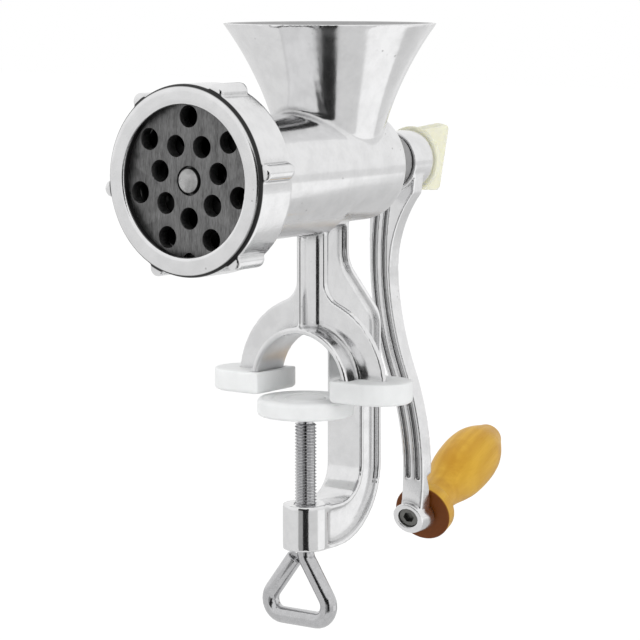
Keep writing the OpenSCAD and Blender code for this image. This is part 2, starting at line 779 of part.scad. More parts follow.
module handle_grip() color("goldenrod") on_grip_axis() translate([0, 0, grip_y0]) difference() {
    rotate_extrude() {
        polygon(concat([[0, 0], [grip_flange_r - 0.5, 0], [grip_flange_r, 0.5],
                        [grip_flange_r, rim_t - 0.8], [grip_flange_r - 0.8, rim_t]],
            [for (p = grip_shape) [grip_neck_r + p[1] * (grip_r - grip_neck_r), p[0] * grip_len]],
            [[grip_r * 0.5, grip_len], [0, grip_len]]));
    }
    translate([0, 0, -cut]) cylinder(r = sleeve_r + fit, h = grip_len);
    translate([0, 0, grip_len - nut_head_t * 2.5 - gap]) cylinder(r = nut_head_r + gap, h = grip_r);
}

// ---- Feet ----

module pad_section(w, h) {
    r = pad_edge;
    difference() {
        translate([-w / 2, 0]) square([w, h]);
        for (s = [-1, 1]) translate([s * w / 2, 0]) difference() {
            translate([-r, -r]) square([r * 2, r * 2]);
            translate([-s * r, r]) circle(r = r, $fn = 32);
        }
    }
}

// The right foot's pad, with a pocket for the arch, the web and the soffit
module foot_pad() {
    end = pad_x1 - pad_w / 2;
    difference() {
        translate([0, web_y, 0]) {
            slab_x(pad_x0, end) pad_section(pad_w, pad_h);
            translate([end, 0, 0]) rotate([0, 0, -90]) rotate_extrude(angle = 180)
                intersection() {
                    pad_section(pad_w, pad_h);
                    square([pad_w, pad_h]);
                }
        }
        slab_y(web_y - pad_w, web_y + pad_w) difference() {
            translate([pad_x0 - cut, -cut]) square(pad_edge + cut);
            translate([pad_x0 + pad_edge, pad_edge]) circle(r = pad_edge, $fn = 32);
        }
        translate([arch_r - pad_fit, soffit_y0 - pad_fit, pad_floor])
            cube([arch_w + 2 * pad_fit, soffit_len + 2 * pad_fit, foot_t + pad_fit]);
        slab_y(web_y - web_t / 2 - pad_fit, web_y + web_t / 2 + pad_fit)
            translate([arch_r - pad_fit, pad_floor]) square([arch_w + 2 * pad_fit, pad_h]);
        slab_y(soffit_y0 - pad_fit, soffit_y1 + pad_fit)
            translate([arch_r - cut, pad_floor]) square([web_t + cut + pad_fit, pad_h]);
    }
}

module foot_pad_left() color("whitesmoke") mirror([1, 0, 0]) foot_pad();
module foot_pad_right() color("whitesmoke") foot_pad();

// ---- Clamp screw ----

// The points of a path in X and Z, with its corners bent to a radius
function bent_path(path, bend) = concat([path[0]], [
    for (i = [1 : len(path) - 2])
        let (a = path[i] - path[i - 1], b = path[i + 1] - path[i],
             turn = atan2(a[0] * b[1] - a[1] * b[0], a * b),
             side = sign(turn),
             u = a / norm(a),
             c = path[i] - u * bend * tan(abs(turn) / 2) + side * bend * [-u[1], u[0]],
             start = atan2(-side * u[0], side * u[1]))
            each arc(c, bend, start, start + turn, 8)], [path[len(path) - 1]]);

// A round rod along a path in X and Z
module bent_rod(path, r) {
    n = len(path);
    sweep([for (i = [0 : n - 1])
        let (d = path[min(i + 1, n - 1)] - path[max(i - 1, 0)], u = d / norm(d))
            [for (k = [0 : 19])
                [path[i][0] - u[1] * r * cos(18 * k), r * sin(18 * k),
                 path[i][1] + u[0] * r * cos(18 * k)]]]);
}

module clamp_screw() color("silver") {
    rotate_extrude() polygon(concat([[0, shank_z], [rod_r, shank_z], [rod_r, thread_z0]],
        thread_profile(screw_d / 2, 0.8, screw_pitch, thread_z0, collar_z - 0.5),
        [[screw_d / 2 - 0.8, collar_z], [pin_r, collar_z], [pin_r, disc_z1 + 0.3],
         [pin_r + 1.5, disc_z1 + 0.3], [pin_r + 0.8, disc_z1 + 1.6], [0, disc_z1 + 1.6]]));
    bent_rod(bent_path(loop_path, loop_bend), rod_r - 0.06);
}

module pressure_disc() color("silver") {
    difference() {
        translate([0, 0, disc_z0]) cylinder(r = disc_r, h = disc_t);
        translate([0, 0, disc_z0 - cut]) cylinder(r = pin_r + fit, h = disc_t + 2 * cut);
    }
}

module pressure_cap() color("whitesmoke") {
    rotate_extrude() difference() {
        polygon([[0, cap_z0], [cap_d / 2 - 1, cap_z0], [cap_d / 2, cap_z0 + 1],
                 [cap_d / 2, cap_z1 - 1.2], [cap_d / 2 - 1.2, cap_z1], [0, cap_z1]]);
        translate([0, cap_z0 - cut]) square([disc_r - 1, disc_z0 - cap_z0 + 2 * cut]);
        translate([0, disc_z0]) square([disc_r + fit, disc_t]);
        translate([0, disc_z0]) square([pin_r + 2.2, disc_t + 2]);
        for (r = [0.2, 0.32, 0.42] * cap_d)
            translate([r, cap_z1 - groove_t]) square([groove_w, cut + groove_t]);
    }
}

body_casting();
retaining_ring();
grinding_plate();
plate_key_pin();
cutting_knife();
auger();
nose_pin();
rear_bushing();
thrust_washer();
crank_arm();
crank_washer();
wing_screw_knob();
wing_screw_stud();
handle_grip();
handle_bolt();
handle_sleeve_nut();
handle_washer();
foot_pad_left();
foot_pad_right();
clamp_screw();
pressure_disc();
pressure_cap();
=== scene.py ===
"""Dresses the packed hand crank meat grinder: castings with soft edges, plate, screw, grip and studio."""

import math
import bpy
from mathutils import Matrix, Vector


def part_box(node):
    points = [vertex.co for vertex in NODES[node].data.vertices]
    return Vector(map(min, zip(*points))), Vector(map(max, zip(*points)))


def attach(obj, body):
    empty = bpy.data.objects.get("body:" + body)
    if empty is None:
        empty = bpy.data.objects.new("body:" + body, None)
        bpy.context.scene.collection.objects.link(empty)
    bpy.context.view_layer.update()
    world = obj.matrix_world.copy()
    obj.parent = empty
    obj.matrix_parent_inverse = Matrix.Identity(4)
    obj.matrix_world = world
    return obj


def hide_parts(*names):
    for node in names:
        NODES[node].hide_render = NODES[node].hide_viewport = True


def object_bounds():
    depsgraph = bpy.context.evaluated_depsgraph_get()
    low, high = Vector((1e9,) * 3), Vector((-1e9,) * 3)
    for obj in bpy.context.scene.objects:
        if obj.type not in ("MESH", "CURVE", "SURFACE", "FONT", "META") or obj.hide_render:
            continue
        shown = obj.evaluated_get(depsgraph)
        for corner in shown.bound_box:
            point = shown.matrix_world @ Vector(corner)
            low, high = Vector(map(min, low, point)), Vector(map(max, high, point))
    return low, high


bl_info = {
    "name": "Meat Grinder Finish",
    "version": (1, 0, 0),
    "blender": (4, 5, 0),
    "location": "View3D > Sidebar > Grinder",
    "description": "Builds the castings, plate, clamp screw, grip and studio of a hand crank meat grinder",
    "category": "Object",
}

import bmesh
import bpy
import numpy as np
from mathutils import Euler, Matrix, Vector

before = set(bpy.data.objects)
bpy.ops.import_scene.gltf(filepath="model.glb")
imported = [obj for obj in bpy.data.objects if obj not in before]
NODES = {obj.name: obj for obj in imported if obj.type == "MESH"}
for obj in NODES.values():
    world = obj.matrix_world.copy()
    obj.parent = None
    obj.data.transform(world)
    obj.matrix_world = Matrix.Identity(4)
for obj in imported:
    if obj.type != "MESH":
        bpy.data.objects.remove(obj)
CAD_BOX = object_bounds()

MM = 0.001
AXIS_Z = 0.103  # height of the barrel's axis
HOPPER_Y = 0.0188  # the hopper's axis
HOPPER_FLARE = (0.117, 0.168, 0.024, 0.0483)  # height of its foot and rim, radius at its foot and rim
HOPPER_BEND = 0.150  # radius of the arc that the flare follows
BARREL_R = 0.0255
FILLET_ROUNDS = 14
FLARE_ROOM = 1.2  # how far past its width the hopper's fillet still reaches

# Edges of the places with painted shade or less polish, in metres. Each pair runs from no share to all
BORE_WALL, BORE_END = (0.0241, 0.0236), (0.043, 0.0425)  # distance from the barrel's axis, place along it
MOUTH_WALL, MOUTH_START = (0.0324, 0.0320), (-0.0660, -0.0665)
NECK_WALL, NECK_START = (0.0142, 0.0138), (0.0455, 0.0465)
RING_WALL, RING_START = (0.0329, 0.0326), (-0.0882, -0.0872)
# painted shadow in the crease round the ring's lip
CREASE_FRONT, CREASE_BACK = (-0.0883, -0.0880), (-0.0862, -0.0866)
CREASE_INNER, CREASE_OUTER = (0.0392, 0.0396), (0.0418, 0.0415)
FUNNEL_WALL, FUNNEL_FOOT = (0.0016, 0.0022), (0.127, 0.130)  # depth under the hopper's outside, height
ARCH_SIDE, ARCH_TOP = (-0.006, -0.012), (0.05, 0.04)  # place across, height
UNDERSIDE_TOP, UNDERSIDE_FOOT = (0.084, 0.080), (0.074, 0.076)  # height
RIM_FADE = (0.163, 0.159)  # height above which corners get no painted shade
PIN_SHADOW_RIM = (0.0049, 0.0052)  # distance from the axis where the nose pin's bright face ends and its rim, painted black as shadow, begins
# share of painted shade on the neck and inside the hopper
NECK_PAINTED_SHADE, FUNNEL_PAINTED_SHADE = 0.6, 0.55
WEAR_EDGE, HOLLOW_PAINTED_SHADE = (0.51, 0.56), (0.49, 0.44)  # pointiness, 0.5 on a flat face; rubbed edges above it, painted shade in hollows below it
CORNER_REACH, CORNER_OPEN = 0.004, (0.86, 0.58)  # reach, and how much of the view round a corner is open, for the painted shade in corners

# Plate
PLATE_R, NOTCH_AT, NOTCH_R = 35 * MM, 34 * MM, 3.2 * MM
PLATE_BORE_R = 5.5 * MM
SINK_R, SINK_DEPTH = 6.3 * MM, 2.5 * MM  # recess round the plate's bore
PLATE_EDGE = 0.25 * MM

# Clamp screw
THREAD_R = 5 * MM
THREAD_TOP, THREAD_FOOT = -12.2 * MM, -66 * MM
THREAD_SIDES, THREAD_STEPS = 48, 12  # points round the thread and in each turn
FLANK_RISE, CREST, ROOT = 2.6, 0.9, 0.05  # slope of the thread's flank, its top and its foot
PIN_R, PIN_LENGTH, PIN_MIDDLE = 3.4 * MM, 9 * MM, -10.5 * MM  # plain end that the pressure disc turns on
LOOP_CORNER = 7 * MM
LOOP = ((0, 0, -64), (0, 0, -73.6), (18.74, 0, -102.6), (-26.9, 0, -102.6), (-6.2, 0, -75))  # corners in mm

# Grip, in millimetres: radius and place along its bolt, from the front face
GRIP_PLACE = Vector((10.5, 79, -66)) * MM
GRIP_TURN = (math.radians(18), 0, math.radians(8.5))
GRIP_START = 1.5
GRIP_LENGTH = 82
GRIP_BORE, NUT_RECESS, NUT_SEAT = 4.12, 6.25, 77.0
GRIP_FLANGE = [(GRIP_BORE, 0), (13.2, 0), (13.6, 0.12), (13.88, 0.5), (13.9, 1.0), (13.9, 6.5)]
GRIP_SWELL = [(13.5, 7.1), (12.2, 7.6), (10.5, 8.7), (9.45, 11.3), (8.97, 16.4), (9.0, 21.3), (9.9, 26.6),
              (11.1, 31.2), (12.45, 36.1), (13.6, 41.8), (14.2, 49.2), (14.3, 55.8), (13.98, 60.7),
              (13.24, 65.6), (11.76, 70.5), (10.06, 74.6), (8.58, 77.9), (7.5, 80.4)]
GRIP_CAP = [(7.5, 80.4), (7.15, 81.4), (6.9, GRIP_LENGTH), (NUT_RECESS, GRIP_LENGTH), (NUT_RECESS, NUT_SEAT)]
STAIN_EDGE = (0.0026, 0.0018)  # place along the bolt where the front's stain ends

# Stage
CAMERA_TURN, CAMERA_LIFT = 35.666, 7.186  # degrees
CAMERA_PLACE = (0.72576, -1.00011, 0.19073)
FLOOR_HALF = 6
CLAMP_DROP = 0.0395  # room under the loop for the clamp screw's whole travel
FAN_LIFT = 0.001  # height of the fans above the floor
FAN_NEAR, FAN_FAR = 0.13, 1.3  # reach of the floor's fans from the hopper's axis
FAN_STEPS = 24
FLOOR_WHITE = 0.85  # share of the floor that glows; the rest takes the shadow
FLOOR_GLOW = 1.1
FLOOR_DIM, SKY_DIM = 0.3, 0.06  # how much darker polished metal sees the floor and the sky
# Parts of the floor that polished metal sees in a shade: from and to in degrees right of the camera,
# and the shade near by and far out
FLOOR_FANS = ((-38, -15, 0.34, 0.5), (-15, 12, 0.02, 0.02), (12, 60, 0.7, 0.8),
              (60, 112, 1.05, 1.05), (112, 180, 0.58, 0.9))
# Dark boards: degrees right of the camera, distance, width, foot and top in metres
UPRIGHTS = ((-14, 1.25, 1.3, -0.145, 0.4),)
BOARD_SHADE = 0.02
LAMPS = (("key", (-0.6, -1.3, 1.2), (0.9, 0.9)), ("fill", (1.5, -0.3, 0.7), (0.8, 1.0)))  # place and size
LAMP_AIM = (0.005, 0.004, 0.035)

# ---- Sizes and colours that a user changes ----


def length_value(name, description, size):
    """A length that a user can set"""
    return bpy.props.FloatProperty(name=name, description=description, default=size, unit="LENGTH")


def colour_value(name, description, colour):
    """A colour that a user can set"""
    return bpy.props.FloatVectorProperty(
        name=name, description=description, default=colour, subtype="COLOR", size=3
    )


class GrinderCasting(bpy.types.PropertyGroup):
    """Soft edges and finish of the aluminium castings"""

    body_voxel: length_value("Body detail", "Cell size of the body's skin", 0.7 * MM)
    ring_voxel: length_value("Ring detail", "Cell size of the ring's skin", 0.45 * MM)
    crank_voxel: length_value("Crank detail", "Cell size of the crank's skin", 0.42 * MM)
    blend_width: length_value("Hopper fillet", "Reach of the fillet between hopper and barrel", 4 * MM)
    aluminium: colour_value("Aluminium", "Colour of the polished castings", (0.84, 0.84, 0.845))
    polish: bpy.props.FloatProperty(
        name="Roughness", description="Roughness of the polished castings", default=0.13, min=0, max=1
    )


class GrinderPlate(bpy.types.PropertyGroup):
    """Drilled plate"""

    hole: length_value("Hole diameter", "Diameter of one grinding hole", 9.4 * MM)
    inner_ring: length_value("Inner ring", "Radius of the inner ring of holes", 16.1 * MM)
    outer_ring: length_value("Outer ring", "Radius of the outer ring of holes", 27.3 * MM)
    per_ring: bpy.props.IntProperty(
        name="Holes per ring", description="Number of holes in each ring", default=7, min=3
    )
    steel: colour_value("Plate steel", "Colour of the brushed plate", (0.18, 0.18, 0.18))


class GrinderScrew(bpy.types.PropertyGroup):
    """Clamp screw"""

    pitch: length_value("Pitch", "Pitch of the clamp screw's thread", 1.5 * MM)
    depth: length_value("Thread depth", "Depth of the clamp screw's thread", 0.8 * MM)
    rod: length_value("Rod radius", "Radius of the loop's rod", 3.9 * MM)
    steel: colour_value("Screw steel", "Colour of the plated screw", (0.62, 0.62, 0.63))


class GrinderPlastic(bpy.types.PropertyGroup):
    """Plastic parts"""

    white: colour_value("Pads", "Colour of the foot pads and the pressure cap", (0.86, 0.87, 0.87))
    ivory: colour_value("Wing", "Colour of the wing screw", (0.90, 0.89, 0.71))


class GrinderWood(bpy.types.PropertyGroup):
    """Turned grip"""

    early: colour_value("Light wood", "Colour between the growth lines", (0.72, 0.42, 0.045))
    late: colour_value("Dark wood", "Colour of the growth lines", (0.54, 0.26, 0.018))
    stain: colour_value("End stain", "Colour of the stained front of the flange", (0.15, 0.038, 0.002))


class GrinderStudio(bpy.types.PropertyGroup):
    """Camera and light"""

    lens: bpy.props.FloatProperty(
        name="Lens", description="Focal length on a 36 mm wide sensor", default=155.2, unit="CAMERA"
    )
    key: bpy.props.FloatProperty(
        name="Key light", description="Power of the key light in watts", default=14, min=0
    )
    fill: bpy.props.FloatProperty(
        name="Fill light", description="Power of the fill light in watts", default=8, min=0
    )
    sky: bpy.props.FloatProperty(
        name="Sky", description="Strength of the even light from all sides", default=0.62, min=0
    )


GROUPS = {
    "grinder_casting": GrinderCasting,
    "grinder_plate": GrinderPlate,
    "grinder_screw": GrinderScrew,
    "grinder_plastic": GrinderPlastic,
    "grinder_wood": GrinderWood,
    "grinder_studio": GrinderStudio,
}

# ---- Node trees ----


class Tree:
    """Short words for building a node tree"""

    def __init__(self, tree):
        self.tree = tree
        self.column = 0

    def wire(self, value, socket):
        """Links an output to an input"""
        self.tree.links.new(value, socket)

    def add(self, kind, **values):
        """A new node; a value goes to the property of that name, or else to the input of that name"""
        node = self.tree.nodes.new(kind)
        node.location = (self.column * 180, 0)
        self.column += 1
        for name, value in values.items():
            if hasattr(node, name) and name != "Scale":
                setattr(node, name, value)
            else:
                self.put(node, name.replace("_", " "), value)
        return node

    def put(self, node, name, value):
        """Links or sets one input; name may be an index"""
        socket = node.inputs[name]
        if isinstance(value, bpy.types.NodeSocket):
            self.wire(value, socket)
        else:
            socket.default_value = value

    def fill(self, node, *values):
        """Links or sets the first inputs in order; returns the first result"""
        for i, value in enumerate(values):
            self.put(node, i, value)
        return node.outputs[0]

    def geo(self, kind, **values):
        """The first result of a new Geometry node"""
        return self.add("GeometryNode" + kind, **values).outputs[0]

    def math(self, operation, *values, clamp=False):
        """The result of a Math node"""
        return self.fill(self.add("ShaderNodeMath", operation=operation, use_clamp=clamp), *values)

    def place(self):
        """Coordinates in the row frame"""
        return self.add("ShaderNodeTexCoord").outputs["Object"]

    def split(self, vector):
        """The X, Y and Z of a vector"""
        return self.add("ShaderNodeSeparateXYZ", Vector=vector).outputs

    def times(self, a, b):
        """The product of two values"""
        return self.math("MULTIPLY", a, b)

    def hypot(self, a, b):
        """The length of a diagonal"""
        return self.math("SQRT", self.math("ADD", self.times(a, a), self.times(b, b)))

    def vector(self, operation, *values):
        """The result of a Vector Math node"""
        return self.fill(self.add("ShaderNodeVectorMath", operation=operation), *values)

    def remap(self, value, a, b, c=0.0, d=1.0):
        """value from a..b to c..d, held at both ends"""
        return self.fill(self.add("ShaderNodeMapRange"), value, a, b, c, d)

    def mix(self, share, a, b):
        """A mix of two colours"""
        node = self.add("ShaderNodeMix", data_type="RGBA")
        self.put(node, 0, share)
        self.put(node, 6, a if isinstance(a, bpy.types.NodeSocket) else (*a[:3], 1))
        self.put(node, 7, b if isinstance(b, bpy.types.NodeSocket) else (*b[:3], 1))
        return node.outputs[2]

    def noise(self, vector, scale, detail=2.0, roughness=0.5, distortion=0.0):
        """The value of a Noise texture"""
        return self.add("ShaderNodeTexNoise", Vector=vector, Scale=scale, Detail=detail,
                        Roughness=roughness, Distortion=distortion).outputs[0]

    def bump(self, height, distance):
        """A Bump node's normal"""
        return self.add("ShaderNodeBump", Strength=1.0, Height=height, Distance=distance).outputs[0]


def effect(name, inputs, outputs):
    """An empty shader node group with these inputs and number outputs, and its Tree"""
    group = bpy.data.node_groups.new(name, "ShaderNodeTree")
    for label, value in inputs.items():
        kind = "NodeSocketVector" if isinstance(value, tuple) else "NodeSocketFloat"
        group.interface.new_socket(label, in_out="INPUT", socket_type=kind).default_value = value
    for label in outputs:
        group.interface.new_socket(label, in_out="OUTPUT", socket_type="NodeSocketFloat")
    tree = Tree(group)
    source = tree.add("NodeGroupInput")
    sink = tree.add("NodeGroupOutput")
    return group, tree, source.outputs, sink.inputs


def cast_skin():
    """Slight waves, fine grain and small pits of a polished casting"""
    if "cast skin" in bpy.data.node_groups:
        return bpy.data.node_groups["cast skin"]
    group, t, i, o = effect(
        "cast skin", {"Waves": 0.5, "Grain": 0.2, "Pits": 0.3}, ("Height", "Clouds", "Pit Mask")
    )
    place = t.place()
    waves = t.noise(place, 70, 3, 0.5)
    grain = t.noise(place, 1400, 3, 0.6)
    cells = t.add("ShaderNodeTexVoronoi", Vector=place, Randomness=1.0, Scale=260)
    pit = t.remap(cells.outputs["Distance"], 0.05, 0.16, 1, 0)
    rare = t.remap(t.noise(place, 55, 2), 0.58, 0.66)
    pits = t.times(pit, rare)
    height = t.times(waves, i["Waves"])
    height = t.math("ADD", height, t.times(grain, i["Grain"]))
    height = t.math("SUBTRACT", height, t.times(pits, i["Pits"]))
    t.wire(height, o["Height"])
    t.wire(t.noise(place, 120, 5, 0.62), o["Clouds"])
    t.wire(pits, o["Pit Mask"])
    return group


def rubbed_edges_and_painted_shade():
    """Wear is 1 on rubbed edges, Hollow on deep grooves, and Corner in tight corners, broken up by noise;
    Hollow and Corner are masks for painted shade
    """
    if "edge wear" in bpy.data.node_groups:
        return bpy.data.node_groups["edge wear"]
    group, t, _, o = effect("edge wear", {}, ("Wear", "Hollow", "Corner"))
    point = t.add("ShaderNodeNewGeometry").outputs["Pointiness"]
    place = t.place()
    patch = t.remap(t.noise(place, 300, 3), 0.35, 0.6, 0.35, 1)
    edge = t.remap(point, *WEAR_EDGE)
    t.wire(t.times(edge, patch), o["Wear"])
    # Hollow: painted shade in deep grooves
    t.wire(t.remap(point, *HOLLOW_PAINTED_SHADE), o["Hollow"])
    # Corner: painted shade in tight corners, from ambient occlusion, faded out near the hopper's rim
    near = t.add("ShaderNodeAmbientOcclusion", only_local=True, samples=6, Distance=CORNER_REACH)
    spotty = t.remap(t.noise(place, 900, 3, 0.6), 0.3, 0.7, 0.75, 1.1)
    corner = t.remap(near.outputs["AO"], *CORNER_OPEN)
    corner = t.math("MULTIPLY", corner, spotty, clamp=True)
    height = t.split(place)[2]
    t.wire(t.times(corner, t.remap(height, *RIM_FADE)), o["Corner"])
    return group


def brushed_lines():
    """Fine lines along one axis, as left by a belt"""
    if "brushed lines" in bpy.data.node_groups:
        return bpy.data.node_groups["brushed lines"]
    group, t, i, o = effect(
        "brushed lines", {"Squeeze": (1, 1, 1), "Fineness": 1500}, ("Height", "Streak")
    )
    place = t.vector("MULTIPLY", t.place(), i["Squeeze"])
    fine = t.noise(place, i["Fineness"], 4, 0.7)
    broad = t.noise(place, t.times(i["Fineness"], 0.2), 2, 0.5)
    t.wire(fine, o["Height"])
    t.wire(t.math("ADD", t.times(fine, 0.7), t.times(broad, 0.3)), o["Streak"])
    return group


def tint(colour, share):
    """A colour times a share"""
    return tuple(c * share for c in colour)


def use(t, group, **values):
    """Places a shader group in a material; returns its outputs"""
    return t.add("ShaderNodeGroup", node_tree=group, **values).outputs


def material(name):
    """A new material with a Principled shader; returns it, its Tree and the shader"""
    m = bpy.data.materials.new(name)
    m.use_nodes = True
    t = Tree(m.node_tree)
    shader = next(n for n in m.node_tree.nodes if n.type == "BSDF_PRINCIPLED")
    return m, t, shader


def surface(t, shader, base, rough, normal, metallic=1.0):
    """Gives a Principled shader its metal share, colour, roughness and bumps"""
    values = {"Metallic": metallic, "Base Color": base, "Roughness": rough, "Normal": normal}
    for name, value in values.items():
        t.put(shader, name, value)


def aluminium(name, colour, polish, waves, grain, pits, relief, shade=None, satin=None):
    """Polished cast aluminium with painted shade in hollows and tight corners; shade gives a mask of more
    places painted dark as shade, satin of rougher places
    """
    m, t, shader = material(name)
    skin = use(t, cast_skin(), Waves=waves, Grain=grain, Pits=pits)
    rubbing_and_painted_shade = use(t, rubbed_edges_and_painted_shade())
    dull = tint(colour, 0.93)
    bright = tuple(min(1, c * 1.08) for c in colour)
    base = t.mix(t.remap(skin["Clouds"], 0.4, 0.62), colour, dull)
    base = t.mix(t.times(rubbing_and_painted_shade["Wear"], 0.5), base, bright)
    # painted shade: darker in hollows, near black in tight corners
    base = t.mix(t.times(rubbing_and_painted_shade["Hollow"], 0.4), base, tint(colour, 0.4))
    base = t.mix(t.times(rubbing_and_painted_shade["Corner"], 0.95), base, tint(colour, 0.07))
    base = t.mix(skin["Pit Mask"], base, tint(colour, 0.5))
    rough = t.remap(skin["Clouds"], 0.35, 0.68, polish * 0.9, polish * 1.2)
    rough = t.math("ADD", rough, t.times(rubbing_and_painted_shade["Corner"], 0.1))
    if satin is not None:
        rough = t.math("ADD", rough, t.times(satin(t), 0.25))
    # painted shade in the places that the shade mask gives
    if shade is not None:
        dark = shade(t)
        base = t.mix(dark, base, tint(colour, 0.055))
        rough = t.math("ADD", rough, t.times(dark, 0.4))
    surface(t, shader, base, rough, t.bump(skin["Height"], relief))
    return m


def around_barrel(t):
    """Distance from the barrel's axis and the place along it"""
    place = t.split(t.place())
    up = t.math("SUBTRACT", place[2], AXIS_Z)
    return t.hypot(place[0], up), place[1]


def body_painted_shade(t):
    """Painted shade inside the barrel and the hopper and on the narrow neck behind the barrel; inside the
    hopper it also stands for the duller raw casting
    """
    out, along = around_barrel(t)
    inside = t.times(t.remap(out, *BORE_WALL), t.remap(along, *BORE_END))
    mouth = t.times(t.remap(out, *MOUTH_WALL), t.remap(along, *MOUTH_START))
    neck = t.times(t.remap(out, *NECK_WALL), t.remap(along, *NECK_START, 0, NECK_PAINTED_SHADE))
    place = t.split(t.place())
    back = t.math("SUBTRACT", place[1], HOPPER_Y)
    reach = t.hypot(place[0], back)
    centre_r, centre_z, bend = hopper_arc()
    up = t.math("SUBTRACT", place[2], centre_z)
    wall = t.math("SUBTRACT", centre_r, t.math("SQRT", t.math("SUBTRACT", bend**2, t.times(up, up))))
    depth = t.math("SUBTRACT", wall, reach)
    funnel = t.times(t.remap(depth, *FUNNEL_WALL), t.remap(place[2], *FUNNEL_FOOT, 0, FUNNEL_PAINTED_SHADE))
    return t.math("MAXIMUM", t.math("MAXIMUM", inside, mouth), t.math("MAXIMUM", neck, funnel))


def body_satin(t):
    """The inner left side of the arch and the barrel's underside, which are less polished"""
    place = t.split(t.place())
    arch = t.times(t.remap(place[0], *ARCH_SIDE), t.remap(place[2], *ARCH_TOP))
    under = t.times(t.remap(place[2], *UNDERSIDE_TOP), t.remap(place[2], *UNDERSIDE_FOOT))
    return t.math("MAXIMUM", arch, under)


def ring_painted_shade(t):
    """Painted shade on the inner wall of the ring behind its lip, and a painted shadow in the crease round
    the lip
    """
    out, along = around_barrel(t)
    inside = t.times(t.remap(out, *RING_WALL), t.remap(along, *RING_START))
    crease = t.times(t.remap(along, *CREASE_FRONT), t.remap(along, *CREASE_BACK))
    crease = t.times(crease, t.times(t.remap(out, *CREASE_INNER), t.remap(out, *CREASE_OUTER)))
    return t.math("MAXIMUM", inside, crease)


def plated_steel(name, colour, roughness, squeeze=(1, 1, 1)):
    """Bright plated or ground steel"""
    m, t, shader = material(name)
    lines = use(t, brushed_lines(), Squeeze=squeeze, Fineness=1800)
    rubbing_and_painted_shade = use(t, rubbed_edges_and_painted_shade())
    base = t.mix(t.remap(lines["Streak"], 0.4, 0.6), colour, tint(colour, 0.82))
    # painted shade in hollows
    base = t.mix(t.times(rubbing_and_painted_shade["Hollow"], 0.6), base, tint(colour, 0.35))
    rough = t.remap(lines["Streak"], 0.3, 0.7, roughness * 0.8, roughness * 1.3)
    surface(t, shader, base, rough, t.bump(lines["Height"], 0.02 * MM))
    return m


def plastic(name, colour, roughness, depth, radius=(0.6, 0.6, 0.6)):
    """Moulded plastic that lets light a little way in"""
    m, t, shader = material(name)
    skin = use(t, cast_skin(), Waves=0.6, Grain=0.12, Pits=0.0)
    base = t.mix(t.remap(skin["Clouds"], 0.35, 0.65), colour, tint(colour, 0.95))
    rough = t.remap(skin["Clouds"], 0.3, 0.7, roughness * 0.9, roughness * 1.2)
    surface(t, shader, base, rough, t.bump(skin["Height"], 0.12 * MM), 0.0)
    t.put(shader, "Subsurface Weight", 0.35)
    t.put(shader, "Subsurface Scale", depth)
    t.put(shader, "Subsurface Radius", radius)
    return m


# ---- Mesh tools ----


def show(name, mesh):
    """A new object at the origin"""
    obj = bpy.data.objects.new(name, mesh)
    bpy.context.scene.collection.objects.link(obj)
    return obj


def settle(obj):
    """Turns an object with its modifiers into a plain mesh"""
    bpy.context.view_layer.update()
    seen = obj.evaluated_get(bpy.context.evaluated_depsgraph_get())
    mesh = bpy.data.meshes.new_from_object(seen)
    mesh.name = obj.name
    obj.modifiers.clear()
    obj.data = mesh


def baked(bm, name):
    """A new mesh from a bmesh, which it frees"""
    mesh = bpy.data.meshes.new(name)
    bm.to_mesh(mesh)
    bm.free()
    return mesh


def merged(node):
    """A copy of a CAD node's mesh with its loose corners joined"""
    bm = bmesh.new()
    bm.from_mesh(NODES[node].data)
    bmesh.ops.remove_doubles(bm, verts=bm.verts, dist=1e-6)
    mesh = baked(bm, node + "_skin")
    if "custom_normal" in mesh.attributes:
        mesh.attributes.remove(mesh.attributes["custom_normal"])
    return mesh


def corners(mesh):
    """The vertices of a mesh as an array"""
    co = np.empty(len(mesh.vertices) * 3)
    mesh.vertices.foreach_get("co", co)
    return co.reshape(-1, 3)


def relax(mesh, weight, rounds):
    """Draws vertices towards their neighbours' middle, as far as weight from 0 to 1 says"""
    co = corners(mesh)
    ends = np.empty(len(mesh.edges) * 2, np.int64)
    mesh.edges.foreach_get("vertices", ends)
    a, b = ends.reshape(-1, 2).T
    keep = (weight[a] > 0) | (weight[b] > 0)
    a, b = a[keep], b[keep]
    n = len(co)
    near = np.maximum(np.bincount(a, minlength=n) + np.bincount(b, minlength=n), 1)
    for _ in range(rounds):
        mean = np.stack(
            [(np.bincount(a, co[b, k], n) + np.bincount(b, co[a, k], n)) / near for k in range(3)], 1
        )
        co += (mean - co) * (0.5 * weight)[:, None]
    mesh.vertices.foreach_set("co", co.ravel())
    mesh.update()


def soft_cast(name, node, voxel, rounds, most=190000, fillet=None):
    """A casting: the CAD shape with a fine skin whose corners are rounded. fillet gives extra rounding"""
    obj = show(name, merged(node))
    skin = obj.modifiers.new("skin", "REMESH")
    skin.mode = "VOXEL"
    skin.voxel_size = voxel
    settle(obj)
    relax(obj.data, np.ones(len(obj.data.vertices)), rounds)
    if fillet is not None:
        relax(obj.data, fillet(corners(obj.data)), FILLET_ROUNDS)
    faces = len(obj.data.polygons) * 2
    if faces > most:
        thin = obj.modifiers.new("thin", "DECIMATE")
        thin.ratio = most / faces
        settle(obj)
    obj.data.shade_smooth()
    return obj


def smooth(obj, degrees):
    """Smooth shading with edges sharper than an angle kept"""
    obj.data.shade_smooth()
    obj.data.set_sharp_from_angle(angle=math.radians(degrees))


def dress(obj, body, slot, finish, *nodes):
    """Gives a finished piece its material, its body and the CAD nodes it stands for. The slot is not used"""
    obj.data.materials.clear()
    obj.data.materials.append(finish)
    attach(obj, body)
    if nodes:
        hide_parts(*nodes)


def paint(node, finish):
    """Puts a finish on a CAD node that stays as it is"""
    NODES[node].data.materials.clear()
    NODES[node].data.materials.append(finish)


